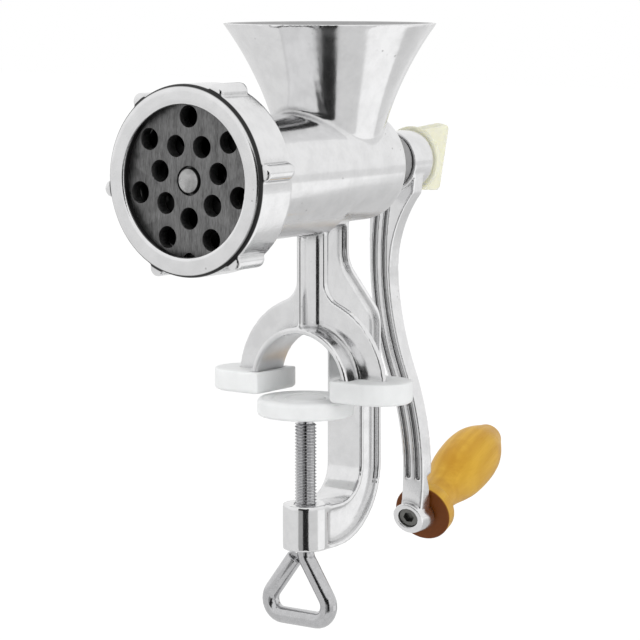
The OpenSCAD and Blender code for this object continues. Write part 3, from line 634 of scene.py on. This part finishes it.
def zinc():
    """Zinc plating of the small fittings, made once"""
    name = "plated_fittings"
    return bpy.data.materials.get(name) or plated_steel(name, (0.55, 0.55, 0.56), 0.28)


# ---- Pieces ----


def hopper_arc():
    """Centre and radius of the arc that the hopper's flare follows"""
    z0, z1, r0, r1, bend = *HOPPER_FLARE, HOPPER_BEND
    chord = math.hypot(r1 - r0, z1 - z0)
    off = math.sqrt(bend**2 - chord**2 / 4)
    return (r0 + r1) / 2 + off * (z1 - z0) / chord, (z0 + z1) / 2 - off * (r1 - r0) / chord, bend


def hopper_radius(z):
    """Outer radius of the hopper's flare at a height"""
    centre_r, centre_z, bend = hopper_arc()
    z = np.clip(z, *HOPPER_FLARE[:2])
    return centre_r - np.sqrt(bend**2 - (z - centre_z) ** 2)


def hopper_fillet(width):
    """Weight of the extra rounding where the hopper meets the barrel"""

    def weight(co):
        x, y, z = co.T
        barrel = np.abs(np.hypot(x, z - AXIS_Z) - BARREL_R)
        hopper = np.abs(np.hypot(x, y - HOPPER_Y) - hopper_radius(z))
        near = np.maximum(barrel, hopper) / width
        return np.clip(FLARE_ROOM - near, 0, 1) * (z > AXIS_Z)

    return weight


class GRINDER_OT_body(bpy.types.Operator):
    """Body casting: barrel, hopper, stand and clamp frame with rounded edges and fillets"""

    bl_idname = "grinder.body"
    bl_label = "Body casting"

    def execute(self, context):
        p = context.scene.grinder_casting
        body = soft_cast("body_cast", "body_casting", p.body_voxel, 6, fillet=hopper_fillet(p.blend_width))
        finish = aluminium("body_aluminium", tuple(p.aluminium), p.polish, 0.35, 0.06, 0.15, 0.12 * MM,
                           body_painted_shade, body_satin)
        dress(body, "housing", "cast_aluminium", finish, "body_casting")
        return {"FINISHED"}


class GRINDER_OT_ring(bpy.types.Operator):
    """Retaining ring with its six gripping lugs"""

    bl_idname = "grinder.ring"
    bl_label = "Retaining ring"

    def execute(self, context):
        p = context.scene.grinder_casting
        ring = soft_cast("ring_cast", "retaining_ring", p.ring_voxel, 4)
        finish = aluminium("ring_aluminium_polished", tuple(p.aluminium), p.polish, 0.4, 0.1, 0.3, 0.15 * MM,
                           ring_painted_shade)
        dress(ring, "ring_nut", "ring_aluminium", finish, "retaining_ring")
        return {"FINISHED"}


def geometry_tree(name, inputs):
    """An empty Geometry Nodes tree with named inputs, and its Tree"""
    group = bpy.data.node_groups.new(name, "GeometryNodeTree")
    group.interface.new_socket("Geometry", in_out="INPUT", socket_type="NodeSocketGeometry")
    for label, kind in inputs:
        group.interface.new_socket(label, in_out="INPUT", socket_type=kind)
    group.interface.new_socket("Geometry", in_out="OUTPUT", socket_type="NodeSocketGeometry")
    t = Tree(group)
    return group, t, t.add("NodeGroupInput").outputs, t.add("NodeGroupOutput").inputs


def run_tree(obj, group, **values):
    """Runs a Geometry Nodes tree on an object with these inputs and keeps the plain mesh"""
    modifier = obj.modifiers.new(group.name, "NODES")
    modifier.node_group = group
    for item in group.interface.items_tree:
        if item.in_out == "INPUT" and item.name in values:
            modifier[item.identifier] = values[item.name]
    settle(obj)


def perforation_tree():
    """Drills rings of holes through an outline that lies in X and Y, and gives it a thickness"""
    f, n = "NodeSocketFloat", "NodeSocketInt"
    group, t, i, o = geometry_tree("perforated plate", [
        ("Hole Radius", f), ("Inner Ring", f), ("Outer Ring", f), ("Inner Turn", f), ("Outer Turn", f),
        ("Holes", n), ("Bore Radius", f), ("Thickness", f), ("Material", "NodeSocketMaterial"),
    ])
    hole = t.add("GeometryNodeCurvePrimitiveCircle", Radius=i["Hole Radius"], Resolution=44)
    curves = [t.geo("MeshToCurve", Mesh=i["Geometry"])]
    for ring, turn in (("Inner Ring", "Inner Turn"), ("Outer Ring", "Outer Turn")):
        spots = t.geo("MeshCircle", Vertices=i["Holes"], Radius=i[ring])
        angle = t.add("ShaderNodeCombineXYZ", Z=i[turn]).outputs[0]
        placed = t.geo("Transform", Geometry=spots, Rotation=angle)
        curves.append(t.geo("InstanceOnPoints", Points=placed, Instance=hole.outputs[0]))
    curves.append(t.geo("CurvePrimitiveCircle", Radius=i["Bore Radius"], Resolution=64))
    join = t.add("GeometryNodeJoinGeometry")
    for curve in reversed(curves):
        t.wire(curve, join.inputs[0])
    flat = t.geo("RealizeInstances", Geometry=join.outputs[0])
    face = t.geo("FillCurve", Curve=flat, mode="NGONS")
    lift = t.add("ShaderNodeCombineXYZ", Z=i["Thickness"]).outputs[0]
    wall = t.add("GeometryNodeExtrudeMesh", Mesh=face, Offset=lift, Offset_Scale=1.0, Individual=False)
    back = t.geo("FlipFaces", Mesh=face)
    both = t.add("GeometryNodeJoinGeometry")
    t.wire(back, both.inputs[0])
    t.wire(wall.outputs[0], both.inputs[0])
    whole = t.geo("MergeByDistance", Geometry=both.outputs[0], Distance=1e-6)
    solid = t.geo("RealizeInstances", Geometry=whole)
    done = t.geo("SetMaterial", Geometry=solid, Material=i["Material"])
    t.wire(done, o[0])
    return group


def plate_outline(radius, notch_at, notch_radius):
    """Closed outline of the plate with its key notch at the foot, as an edge loop in X and Y"""
    reach = math.acos((radius**2 + notch_at**2 - notch_radius**2) / (2 * radius * notch_at))
    inner = math.acos((notch_at - radius * math.cos(reach)) / notch_radius)
    rim = [(radius * math.cos(a), radius * math.sin(a))
           for a in np.linspace(-math.pi / 2 + reach, 1.5 * math.pi - reach, 160)]
    steps = np.linspace(math.pi / 2 + inner, math.pi / 2 - inner, 22)[1:-1]
    notch = [(notch_radius * math.cos(a), -notch_at + notch_radius * math.sin(a)) for a in steps]
    points = rim + notch
    mesh = bpy.data.meshes.new("plate_outline")
    mesh.from_pydata([(x, y, 0) for x, y in points],
                     [(k, (k + 1) % len(points)) for k in range(len(points))], [])
    return mesh


def sink(obj, radius, face_y, depth):
    """Cuts a round recess into a face that looks along -Y, on the barrel's axis"""
    bm = bmesh.new()
    turn = Matrix.Translation((0, face_y, AXIS_Z)) @ Matrix.Rotation(math.pi / 2, 4, "X")
    bmesh.ops.create_cone(bm, cap_ends=True, segments=64, radius1=radius, radius2=radius, depth=depth * 2,
                          matrix=turn)
    cutter = show("recess", baked(bm, "recess"))
    cut = obj.modifiers.new("recess", "BOOLEAN")
    cut.object = cutter
    cut.operation = "DIFFERENCE"
    cut.solver = "EXACT"
    settle(obj)
    bpy.data.objects.remove(cutter)


class GRINDER_OT_plate(bpy.types.Operator):
    """Drilled grinding plate with broken edges and belt marks"""

    bl_idname = "grinder.plate"
    bl_label = "Grinding plate"

    def execute(self, context):
        p = context.scene.grinder_plate
        low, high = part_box("grinding_plate")
        finish, t, shader = material("plate_dark_steel")
        lines = use(t, brushed_lines(), Squeeze=(1, 1, 0.1), Fineness=2600)
        rubbing_and_painted_shade = use(t, rubbed_edges_and_painted_shade())
        steel = tuple(p.steel)
        base = t.mix(t.remap(lines["Streak"], 0.38, 0.62), tint(steel, 0.55), tint(steel, 1.7))
        base = t.mix(t.times(rubbing_and_painted_shade["Wear"], 0.25), base, tint(steel, 2))
        rough = t.remap(lines["Streak"], 0.3, 0.7, 0.42, 0.6)
        surface(t, shader, base, rough, t.bump(lines["Height"], 0.05 * MM))
        plate = show("drilled_plate", plate_outline(PLATE_R, NOTCH_AT, NOTCH_R))
        run_tree(plate, perforation_tree(), **{
            "Hole Radius": p.hole / 2, "Inner Ring": p.inner_ring, "Outer Ring": p.outer_ring,
            "Inner Turn": -math.pi / 2, "Outer Turn": math.pi / 2, "Holes": p.per_ring,
            "Bore Radius": PLATE_BORE_R, "Thickness": high.y - low.y, "Material": finish,
        })
        plate.data.transform(Matrix.Translation((0, high.y, AXIS_Z)) @ Matrix.Rotation(math.pi / 2, 4, "X"))
        sink(plate, SINK_R, low.y, SINK_DEPTH)
        edge = plate.modifiers.new("edge", "BEVEL")
        edge.width = PLATE_EDGE
        edge.segments = 2
        edge.angle_limit = math.radians(50)
        settle(plate)
        smooth(plate, 35)
        dress(plate, "plate", "dark_steel", finish, "grinding_plate")
        return {"FINISHED"}


class GRINDER_OT_feed(bpy.types.Operator):
    """Feed screw, knife, nose pin and the bushings inside the barrel"""

    bl_idname = "grinder.feed"
    bl_label = "Feed screw and knife"

    def execute(self, context):
        # The auger, the knife and the plate's key pin are painted near black as painted shade, for the dark
        # inside of the barrel and the notch
        satin = aluminium("feed_aluminium", (0.05, 0.05, 0.05), 0.36, 0.5, 0.4, 0.4, 0.3 * MM)
        steel_painted_dark = plated_steel("ground_tool_steel", (0.03, 0.03, 0.03), 0.3, squeeze=(0.05, 1, 1))
        auger = soft_cast("feed_screw", "auger", 0.55 * MM, 7)
        dress(auger, "crankshaft", "inner_aluminium", satin, "auger")
        tip, t, shader = material("nose_pin_steel")
        skin = use(t, cast_skin(), Waves=0.2, Grain=1.0, Pits=1.0)
        steel = t.mix(t.remap(skin["Clouds"], 0.4, 0.62), (0.62, 0.62, 0.62), (0.4, 0.4, 0.4))
        # the nose pin's rim outside its face is painted black as the shadow in the gap round it
        out, _ = around_barrel(t)
        base = t.mix(t.remap(out, *PIN_SHADOW_RIM), steel, (0.03, 0.03, 0.03))
        rough = t.remap(skin["Clouds"], 0.3, 0.7, 0.4, 0.65)
        surface(t, shader, base, rough, t.bump(skin["Height"], 0.5 * MM))
        pin = soft_cast("plate_nose_pin", "nose_pin", 0.25 * MM, 3)
        dress(pin, "crankshaft", "ground_steel", tip, "nose_pin")
        paint("cutting_knife", steel_painted_dark)
        nylon = plastic("natural_nylon", (0.72, 0.7, 0.6), 0.45, 0.001)
        paint("rear_bushing", nylon)
        paint("thrust_washer", nylon)
        paint("plate_key_pin", steel_painted_dark)
        return {"FINISHED"}


class GRINDER_OT_crank(bpy.types.Operator):
    """Crank arm with its hub, flutes and eye, and the fittings on it"""

    bl_idname = "grinder.crank"
    bl_label = "Crank arm"

    def execute(self, context):
        p = context.scene.grinder_casting
        arm = soft_cast("crank_cast", "crank_arm", p.crank_voxel, 5)
        finish = aluminium("crank_aluminium_polished", tuple(p.aluminium), p.polish, 0.5, 0.12, 0.4,
                           0.18 * MM)
        dress(arm, "crankshaft", "crank_aluminium", finish, "crank_arm")
        for node in ("crank_washer", "handle_sleeve_nut", "handle_washer", "wing_screw_stud"):
            paint(node, zinc())
        paint("handle_bolt", plated_steel("bolt_dull_steel", (0.2, 0.2, 0.19), 0.3))
        return {"FINISHED"}


class GRINDER_OT_wing(bpy.types.Operator):
    """Moulded wing of the screw that holds the crank"""

    bl_idname = "grinder.wing"
    bl_label = "Wing screw"

    def execute(self, context):
        p = context.scene.grinder_plastic
        wing = soft_cast("moulded_wing", "wing_screw_knob", 0.35 * MM, 5)
        finish = plastic("ivory_nylon", tuple(p.ivory), 0.42, 0.004, (1.0, 0.95, 0.6))
        dress(wing, "wing_screw", "ivory_plastic", finish, "wing_screw_knob")
        return {"FINISHED"}


class GRINDER_OT_pads(bpy.types.Operator):
    """White pads under the feet, and the cap and disc on the clamp screw"""

    bl_idname = "grinder.pads"
    bl_label = "Foot pads and pressure cap"

    def execute(self, context):
        p = context.scene.grinder_plastic
        finish = plastic("milky_polyethylene", tuple(p.white), 0.38, 0.004)
        for side in ("left", "right"):
            pad = soft_cast("soft_pad_" + side, "foot_pad_" + side, 0.42 * MM, 4)
            dress(pad, "housing", "white_plastic", finish, "foot_pad_" + side)
        cap = soft_cast("soft_cap", "pressure_cap", 0.42 * MM, 3)
        dress(cap, "pressure_pad", "cap_plastic", finish, "pressure_cap")
        paint("pressure_disc", zinc())
        return {"FINISHED"}


def thread_tree():
    """A threaded rod along Z: a grid rolled round an axis, its radius following the thread"""
    f = "NodeSocketFloat"
    group, t, i, o = geometry_tree("threaded rod", [
        ("Radius", f), ("Depth", f), ("Pitch", f), ("Length", f), ("Material", "NodeSocketMaterial"),
    ])
    rows = t.times(t.math("DIVIDE", i["Length"], i["Pitch"]), float(THREAD_STEPS))
    grid = t.add("GeometryNodeMeshGrid", Size_X=1.0, Size_Y=1.0, Vertices_X=THREAD_SIDES + 1,
                 Vertices_Y=t.math("ADD", t.math("FLOOR", rows), 1.0))
    place = t.split(t.geo("InputPosition"))
    turn = t.math("ADD", place[0], 0.5)
    up = t.times(t.math("ADD", place[1], 0.5), i["Length"])
    phase = t.math("FRACT", t.math("ADD", t.math("DIVIDE", up, i["Pitch"]), turn))
    ramp = t.math("SUBTRACT", 1.0, t.times(t.math("ABSOLUTE", t.math("SUBTRACT", phase, 0.5)), FLANK_RISE))
    crest = t.math("MAXIMUM", t.math("MINIMUM", ramp, CREST), ROOT)
    radius = t.math("SUBTRACT", i["Radius"], t.times(i["Depth"], t.math("SUBTRACT", CREST, crest)))
    angle = t.times(turn, 2 * math.pi)
    spot = t.add("ShaderNodeCombineXYZ", X=t.times(radius, t.math("COSINE", angle)),
                 Y=t.times(radius, t.math("SINE", angle)), Z=up).outputs[0]
    rolled = t.geo("SetPosition", Geometry=grid.outputs[0], Position=spot)
    closed = t.geo("MergeByDistance", Geometry=rolled, Distance=1e-6)
    solid = t.geo("RealizeInstances", Geometry=closed)
    done = t.geo("SetMaterial", Geometry=solid, Material=i["Material"])
    t.wire(done, o[0])
    return group


def bend(points, radius, steps=10):
    """A path through points whose corners are rounded"""
    out = [points[0]]
    for a, b, c in zip(points, points[1:], points[2:]):
        u, v = (a - b).normalized(), (c - b).normalized()
        half = u.angle(v) / 2
        cut = min(radius / math.tan(half), (a - b).length * 0.48, (c - b).length * 0.48)
        r = cut * math.tan(half)
        middle = b + (u + v).normalized() * (cut / math.cos(half))
        start, end = b + u * cut - middle, b + v * cut - middle
        turn = start.angle(end)
        for k in range(steps + 1):
            s = k / steps
            way = (start * math.sin((1 - s) * turn) + end * math.sin(s * turn)) / math.sin(turn)
            out.append(middle + way.normalized() * r)
    out.append(points[-1])
    return out


def rod(path, radius, sides=32):
    """A closed round rod in the X-Z plane along a path, with domed ends"""
    bm = bmesh.new()
    rings = []
    across = Vector((0, 1, 0))
    flat = 0.35  # depth of the domed ends, as a share of the rod's radius
    dome = [(radius * (1 - math.cos(a)), radius * math.sin(a))
            for a in np.linspace(flat, math.pi / 2, 5)[:-1]]
    run = []
    for k, p in enumerate(path):
        ahead = (path[min(k + 1, len(path) - 1)] - path[max(k - 1, 0)]).normalized()
        run.append((p, ahead, radius))
    (start, start_way, _), (end, end_way, _) = run[0], run[-1]
    head = [(start - start_way * (radius * flat - d * flat), start_way, r) for d, r in dome]
    tail = [(end + end_way * (radius * flat - d * flat), end_way, r) for d, r in reversed(dome)]
    for p, ahead, r in head + run + tail:
        side = ahead.cross(across).normalized()
        rings.append([bm.verts.new(p + (side * math.cos(a) + across * math.sin(a)) * r)
                      for a in np.linspace(0, 2 * math.pi, sides, endpoint=False)])
    for low, high in zip(rings, rings[1:]):
        for k in range(sides):
            bm.faces.new((low[k], low[(k + 1) % sides], high[(k + 1) % sides], high[k]))
    bm.faces.new(rings[0][::-1])
    bm.faces.new(rings[-1])
    bmesh.ops.recalc_face_normals(bm, faces=bm.faces)
    return baked(bm, "rod")


class GRINDER_OT_clamp_screw(bpy.types.Operator):
    """Clamp screw: a real helical thread, a plain pin and a bent loop to turn it by"""

    bl_idname = "grinder.clamp_screw"
    bl_label = "Clamp screw"

    def execute(self, context):
        p = context.scene.grinder_screw
        steel = plated_steel("screw_plated_steel", tuple(p.steel), 0.13)
        screw = show("clamp_screw_rod", bpy.data.meshes.new("thread"))
        run_tree(screw, thread_tree(), **{
            "Radius": THREAD_R, "Depth": p.depth, "Pitch": p.pitch, "Length": THREAD_TOP - THREAD_FOOT,
            "Material": steel,
        })
        screw.data.transform(Matrix.Translation((0, 0, THREAD_FOOT)))
        loop = [Vector(v) * MM for v in LOOP]
        bm = bmesh.new()
        bm.from_mesh(screw.data)
        bmesh.ops.holes_fill(bm, edges=bm.edges, sides=0)
        bm.from_mesh(rod(bend(loop, LOOP_CORNER), p.rod))
        bmesh.ops.create_cone(bm, cap_ends=True, segments=32, radius1=PIN_R, radius2=PIN_R,
                              depth=PIN_LENGTH, matrix=Matrix.Translation((0, 0, PIN_MIDDLE)))
        bmesh.ops.recalc_face_normals(bm, faces=bm.faces)
        bm.to_mesh(screw.data)
        bm.free()
        smooth(screw, 40)
        dress(screw, "screw", "screw_steel", steel, "clamp_screw")
        return {"FINISHED"}


def grip_matrix():
    """From the grip's own frame, with +Y along its bolt and the origin at the eye, to the row frame"""
    return Matrix.Translation(GRIP_PLACE) @ Euler(GRIP_TURN).to_matrix().to_4x4()


def smooth_profile(points, steps=8):
    """A smooth line through profile points"""
    p = [points[0]] + list(points) + [points[-1]]
    out = []
    for a, b, c, d in zip(p, p[1:], p[2:], p[3:]):
        for k in range(steps):
            s = k / steps
            out.append(tuple(
                0.5 * (2 * b[i] + (c[i] - a[i]) * s + (2 * a[i] - 5 * b[i] + 4 * c[i] - d[i]) * s * s
                       + (3 * b[i] - a[i] - 3 * c[i] + d[i]) * s ** 3) for i in range(2)))
    out.append(points[-1])
    return out


def turned_tube(profile, sides=96):
    """A closed ring turned about +Y from a closed profile of radius and Y"""
    bm = bmesh.new()
    rings = [[bm.verts.new((r * math.cos(a), y, r * math.sin(a)))
              for a in np.linspace(0, 2 * math.pi, sides, endpoint=False)] for r, y in profile[:-1]]
    for low, high in zip(rings, rings[1:] + rings[:1]):
        for k in range(sides):
            n = (k + 1) % sides
            bm.faces.new((low[k], low[n], high[n], high[k]))
    bmesh.ops.recalc_face_normals(bm, faces=bm.faces)
    return baked(bm, "turned")


def wood(name, p):
    """Varnished turned wood, its grain along the grip, with a stained front face"""
    m, t, shader = material(name)
    own = t.add(
        "ShaderNodeMapping", vector_type="TEXTURE", Vector=t.place(), Location=GRIP_PLACE, Rotation=GRIP_TURN
    ).outputs[0]
    along = t.split(own)[1]
    stretched = t.vector("MULTIPLY", own, (1.0, 0.14, 1.0))
    warp = t.noise(stretched, 60, 3, 0.55)
    rings = t.add("ShaderNodeTexWave", wave_type="BANDS", bands_direction="X", Vector=stretched, Scale=60.0,
                  Distortion=7.0, Detail=3.0, Detail_Scale=1.2)
    fibre = t.noise(t.vector("MULTIPLY", own, (1.0, 0.05, 1.0)), 1800, 3, 0.6)
    grain = t.math("ADD", t.times(rings.outputs[1], 0.22), t.times(warp, 0.78))
    base = t.mix(t.remap(grain, 0.35, 0.7, 0, 0.6), tuple(p.early), tuple(p.late))
    base = t.mix(t.remap(fibre, 0.5, 0.75, 0, 0.25), base, tuple(p.late))
    smudge = t.remap(t.noise(own, 40, 4, 0.6, 0.6), 0.5, 0.66, 0, 0.7)
    base = t.mix(smudge, base, tuple(p.late))
    base = t.mix(t.remap(along, *STAIN_EDGE), base, tuple(p.stain))
    surface(t, shader, base, t.remap(fibre, 0.3, 0.7, 0.34, 0.5), t.bump(fibre, 0.06 * MM), 0.0)
    t.put(shader, "Specular IOR Level", 0.2)
    t.put(shader, "Coat Weight", 0.05)
    t.put(shader, "Coat Roughness", 0.22)
    return m


class GRINDER_OT_grip(bpy.types.Operator):
    """Turned wooden grip with its flange, neck and domed end"""

    bl_idname = "grinder.grip"
    bl_label = "Wooden grip"

    def execute(self, context):
        outline = GRIP_FLANGE + smooth_profile(GRIP_SWELL)[:-1] + GRIP_CAP
        outline += [(GRIP_BORE, NUT_SEAT), (GRIP_BORE, 0)]
        mesh = turned_tube([(r * MM, (GRIP_START + y) * MM) for r, y in outline])
        mesh.transform(grip_matrix())
        grip = show("turned_grip", mesh)
        smooth(grip, 45)
        finish = wood("varnished_wood", context.scene.grinder_wood)
        dress(grip, "grip", "turned_wood", finish, "handle_grip")
        return {"FINISHED"}


def blend(t, share, a, b, out):
    """Gives an output node a mix of two surfaces or skies"""
    mixed = t.fill(t.add("ShaderNodeMixShader"), share, a.outputs[0], b.outputs[0])
    t.wire(mixed, out.inputs[0])


def plain_shade(name, close, far):
    """A stage surface that glows with one strength near the grinder and another far out"""
    m = bpy.data.materials.new(name)
    m.use_nodes = True
    t = Tree(m.node_tree)
    m.node_tree.nodes.clear()
    away = t.add("ShaderNodeVectorMath", operation="LENGTH")
    t.fill(away, t.vector("MULTIPLY", t.place(), (1, 1, 0)))
    strength = t.remap(away.outputs["Value"], FAN_NEAR, FAN_FAR, close, far)
    glow = t.add("ShaderNodeEmission", Strength=strength)
    t.wire(glow.outputs[0], t.add("ShaderNodeOutputMaterial").inputs[0])
    return m


def reflected_only(name, mesh, finish):
    """A stage surface that only polished metal sees"""
    mesh.materials.append(finish)
    obj = show(name, mesh)
    obj.visible_camera = False
    obj.visible_diffuse = False
    obj.visible_shadow = False


def card(name, centre, toward, width, height, finish):
    """A flat card that faces a point; the camera doesn't see it, polished metal does"""
    centre, toward = Vector(centre), Vector(toward)
    back = (centre - toward).normalized()
    turn = back.to_track_quat("Z", "Y").to_matrix().to_4x4()
    mesh = bpy.data.meshes.new(name)
    w, h = width / 2, height / 2
    mesh.from_pydata([(-w, -h, 0), (w, -h, 0), (w, h, 0), (-w, h, 0)], [], [(0, 1, 2, 3)])
    mesh.transform(Matrix.Translation(centre) @ turn)
    reflected_only(name, mesh, finish)


def fan(name, first, last, z, finish):
    """A flat part of a ring round the hopper's axis that only polished metal sees"""
    points = []
    for k in range(FAN_STEPS + 1):
        turn = math.radians(CAMERA_TURN + first + (last - first) * k / FAN_STEPS)
        points += [(math.sin(turn) * d, HOPPER_Y - math.cos(turn) * d, z) for d in (FAN_NEAR, FAN_FAR)]
    mesh = bpy.data.meshes.new(name)
    mesh.from_pydata(points, [], [(2 * k, 2 * k + 1, 2 * k + 3, 2 * k + 2) for k in range(FAN_STEPS)])
    reflected_only(name, mesh, finish)


def lamp(name, place, aim, size, power):
    """A soft rectangular lamp aimed at a point"""
    data = bpy.data.lights.new(name, "AREA")
    data.shape = "RECTANGLE"
    data.size, data.size_y = size
    data.energy = power
    obj = bpy.data.objects.new(name, data)
    bpy.context.scene.collection.objects.link(obj)
    place = Vector(place)
    obj.location = place
    obj.rotation_euler = (place - Vector(aim)).to_track_quat("Z", "Y").to_euler()
    obj.visible_glossy = False


class GRINDER_OT_studio(bpy.types.Operator):
    """Pale floor, soft lamps, cards for the metal to reflect, and the camera"""

    bl_idname = "grinder.studio"
    bl_label = "Studio"

    def execute(self, context):
        p = context.scene.grinder_studio
        floor_z = CAD_BOX[0][2] - CLAMP_DROP
        mesh = bpy.data.meshes.new("floor")
        h = FLOOR_HALF
        mesh.from_pydata([(-h, -h, floor_z), (h, -h, floor_z), (h, h, floor_z), (-h, h, floor_z)], [],
                         [(0, 1, 2, 3)])
        pale, t, shader = material("pale_floor")
        t.put(shader, "Base Color", (0.9, 0.9, 0.9, 1))
        t.put(shader, "Roughness", 0.9)
        glow = t.add("ShaderNodeEmission")
        path = t.add("ShaderNodeLightPath").outputs
        t.put(glow, "Strength", t.math("SUBTRACT", FLOOR_GLOW, t.times(path["Is Glossy Ray"], FLOOR_DIM)))
        seen = t.math("MAXIMUM", path["Is Camera Ray"], path["Is Transmission Ray"])
        out = next(n for n in pale.node_tree.nodes if n.type == "OUTPUT_MATERIAL")
        share = t.math("MAXIMUM", t.times(seen, FLOOR_WHITE), path["Is Glossy Ray"])
        blend(t, share, shader, glow, out)
        mesh.materials.append(pale)
        show("floor", mesh)

        world = bpy.data.worlds.new("studio")
        world.use_nodes = True
        context.scene.world = world
        t = Tree(world.node_tree)
        world.node_tree.nodes.clear()
        path = t.add("ShaderNodeLightPath").outputs
        even = t.add("ShaderNodeBackground", Color=(1, 1, 1, 1), Strength=p.sky)
        white = t.add("ShaderNodeBackground", Color=(1, 1, 1, 1))
        t.put(white, "Strength", t.math("SUBTRACT", 1.0, t.times(path["Is Glossy Ray"], SKY_DIM)))
        seen = t.math("MAXIMUM", path["Is Camera Ray"],
                      t.math("MAXIMUM", path["Is Glossy Ray"], path["Is Transmission Ray"]))
        blend(t, seen, even, white, t.add("ShaderNodeOutputWorld"))

        for name, place, size in LAMPS:
            lamp(name, place, LAMP_AIM, size, getattr(p, name))

        for first, last, close, far in FLOOR_FANS:
            name = "fan_%d_%d" % (first, last)
            fan(name, first, last, floor_z + FAN_LIFT, plain_shade(name + "_shade", close, far))
        dark = plain_shade("black_card", BOARD_SHADE, BOARD_SHADE)
        for angle, away, width, low, high in UPRIGHTS:
            turn = math.radians(CAMERA_TURN + angle)
            place = Vector((math.sin(turn) * away, HOPPER_Y - math.cos(turn) * away, (low + high) / 2))
            card("upright_%d" % angle, place, (0, HOPPER_Y, place.z), width, high - low, dark)

        view = bpy.data.cameras.new("camera")
        view.lens = p.lens
        view.sensor_width = 36
        view.sensor_fit = "HORIZONTAL"
        view.clip_start, view.clip_end = 0.01, 50
        camera = bpy.data.objects.new("camera", view)
        context.scene.collection.objects.link(camera)
        turn, lift = math.radians(CAMERA_TURN), math.radians(CAMERA_LIFT)
        back = Vector((math.sin(turn) * math.cos(lift), -math.cos(turn) * math.cos(lift), math.sin(lift)))
        camera.location = CAMERA_PLACE
        camera.rotation_euler = back.to_track_quat("Z", "Y").to_euler()
        context.scene.camera = camera
        context.scene.view_settings.view_transform = "Standard"
        return {"FINISHED"}


OPERATORS = (
    GRINDER_OT_body, GRINDER_OT_ring, GRINDER_OT_plate, GRINDER_OT_feed, GRINDER_OT_crank,
    GRINDER_OT_wing, GRINDER_OT_pads, GRINDER_OT_clamp_screw, GRINDER_OT_grip, GRINDER_OT_studio,
)


class GRINDER_PT_panel(bpy.types.Panel):
    """Lists the pieces of the grinder"""

    bl_label = "Meat grinder"
    bl_idname = "GRINDER_PT_panel"
    bl_space_type = "VIEW_3D"
    bl_region_type = "UI"
    bl_category = "Grinder"

    def draw(self, context):
        for name, group in GROUPS.items():
            box = self.layout.box()
            box.label(text=group.__doc__)
            for prop in group.__annotations__:
                box.prop(getattr(context.scene, name), prop)
        for operator in OPERATORS:
            self.layout.operator(operator.bl_idname)


def register():
    for group in GROUPS.values():
        bpy.utils.register_class(group)
    for name, group in GROUPS.items():
        setattr(bpy.types.Scene, name, bpy.props.PointerProperty(type=group))
    for thing in (*OPERATORS, GRINDER_PT_panel):
        bpy.utils.register_class(thing)


def unregister():
    for thing in (GRINDER_PT_panel, *reversed(OPERATORS)):
        bpy.utils.unregister_class(thing)
    for name, group in GROUPS.items():
        delattr(bpy.types.Scene, name)
        bpy.utils.unregister_class(group)


def main():
    """Builds every piece in order"""
    register()
    for operator in OPERATORS:
        group, name = operator.bl_idname.split(".")
        getattr(getattr(bpy.ops, group), name)()


if __name__ == "__main__":
    main()
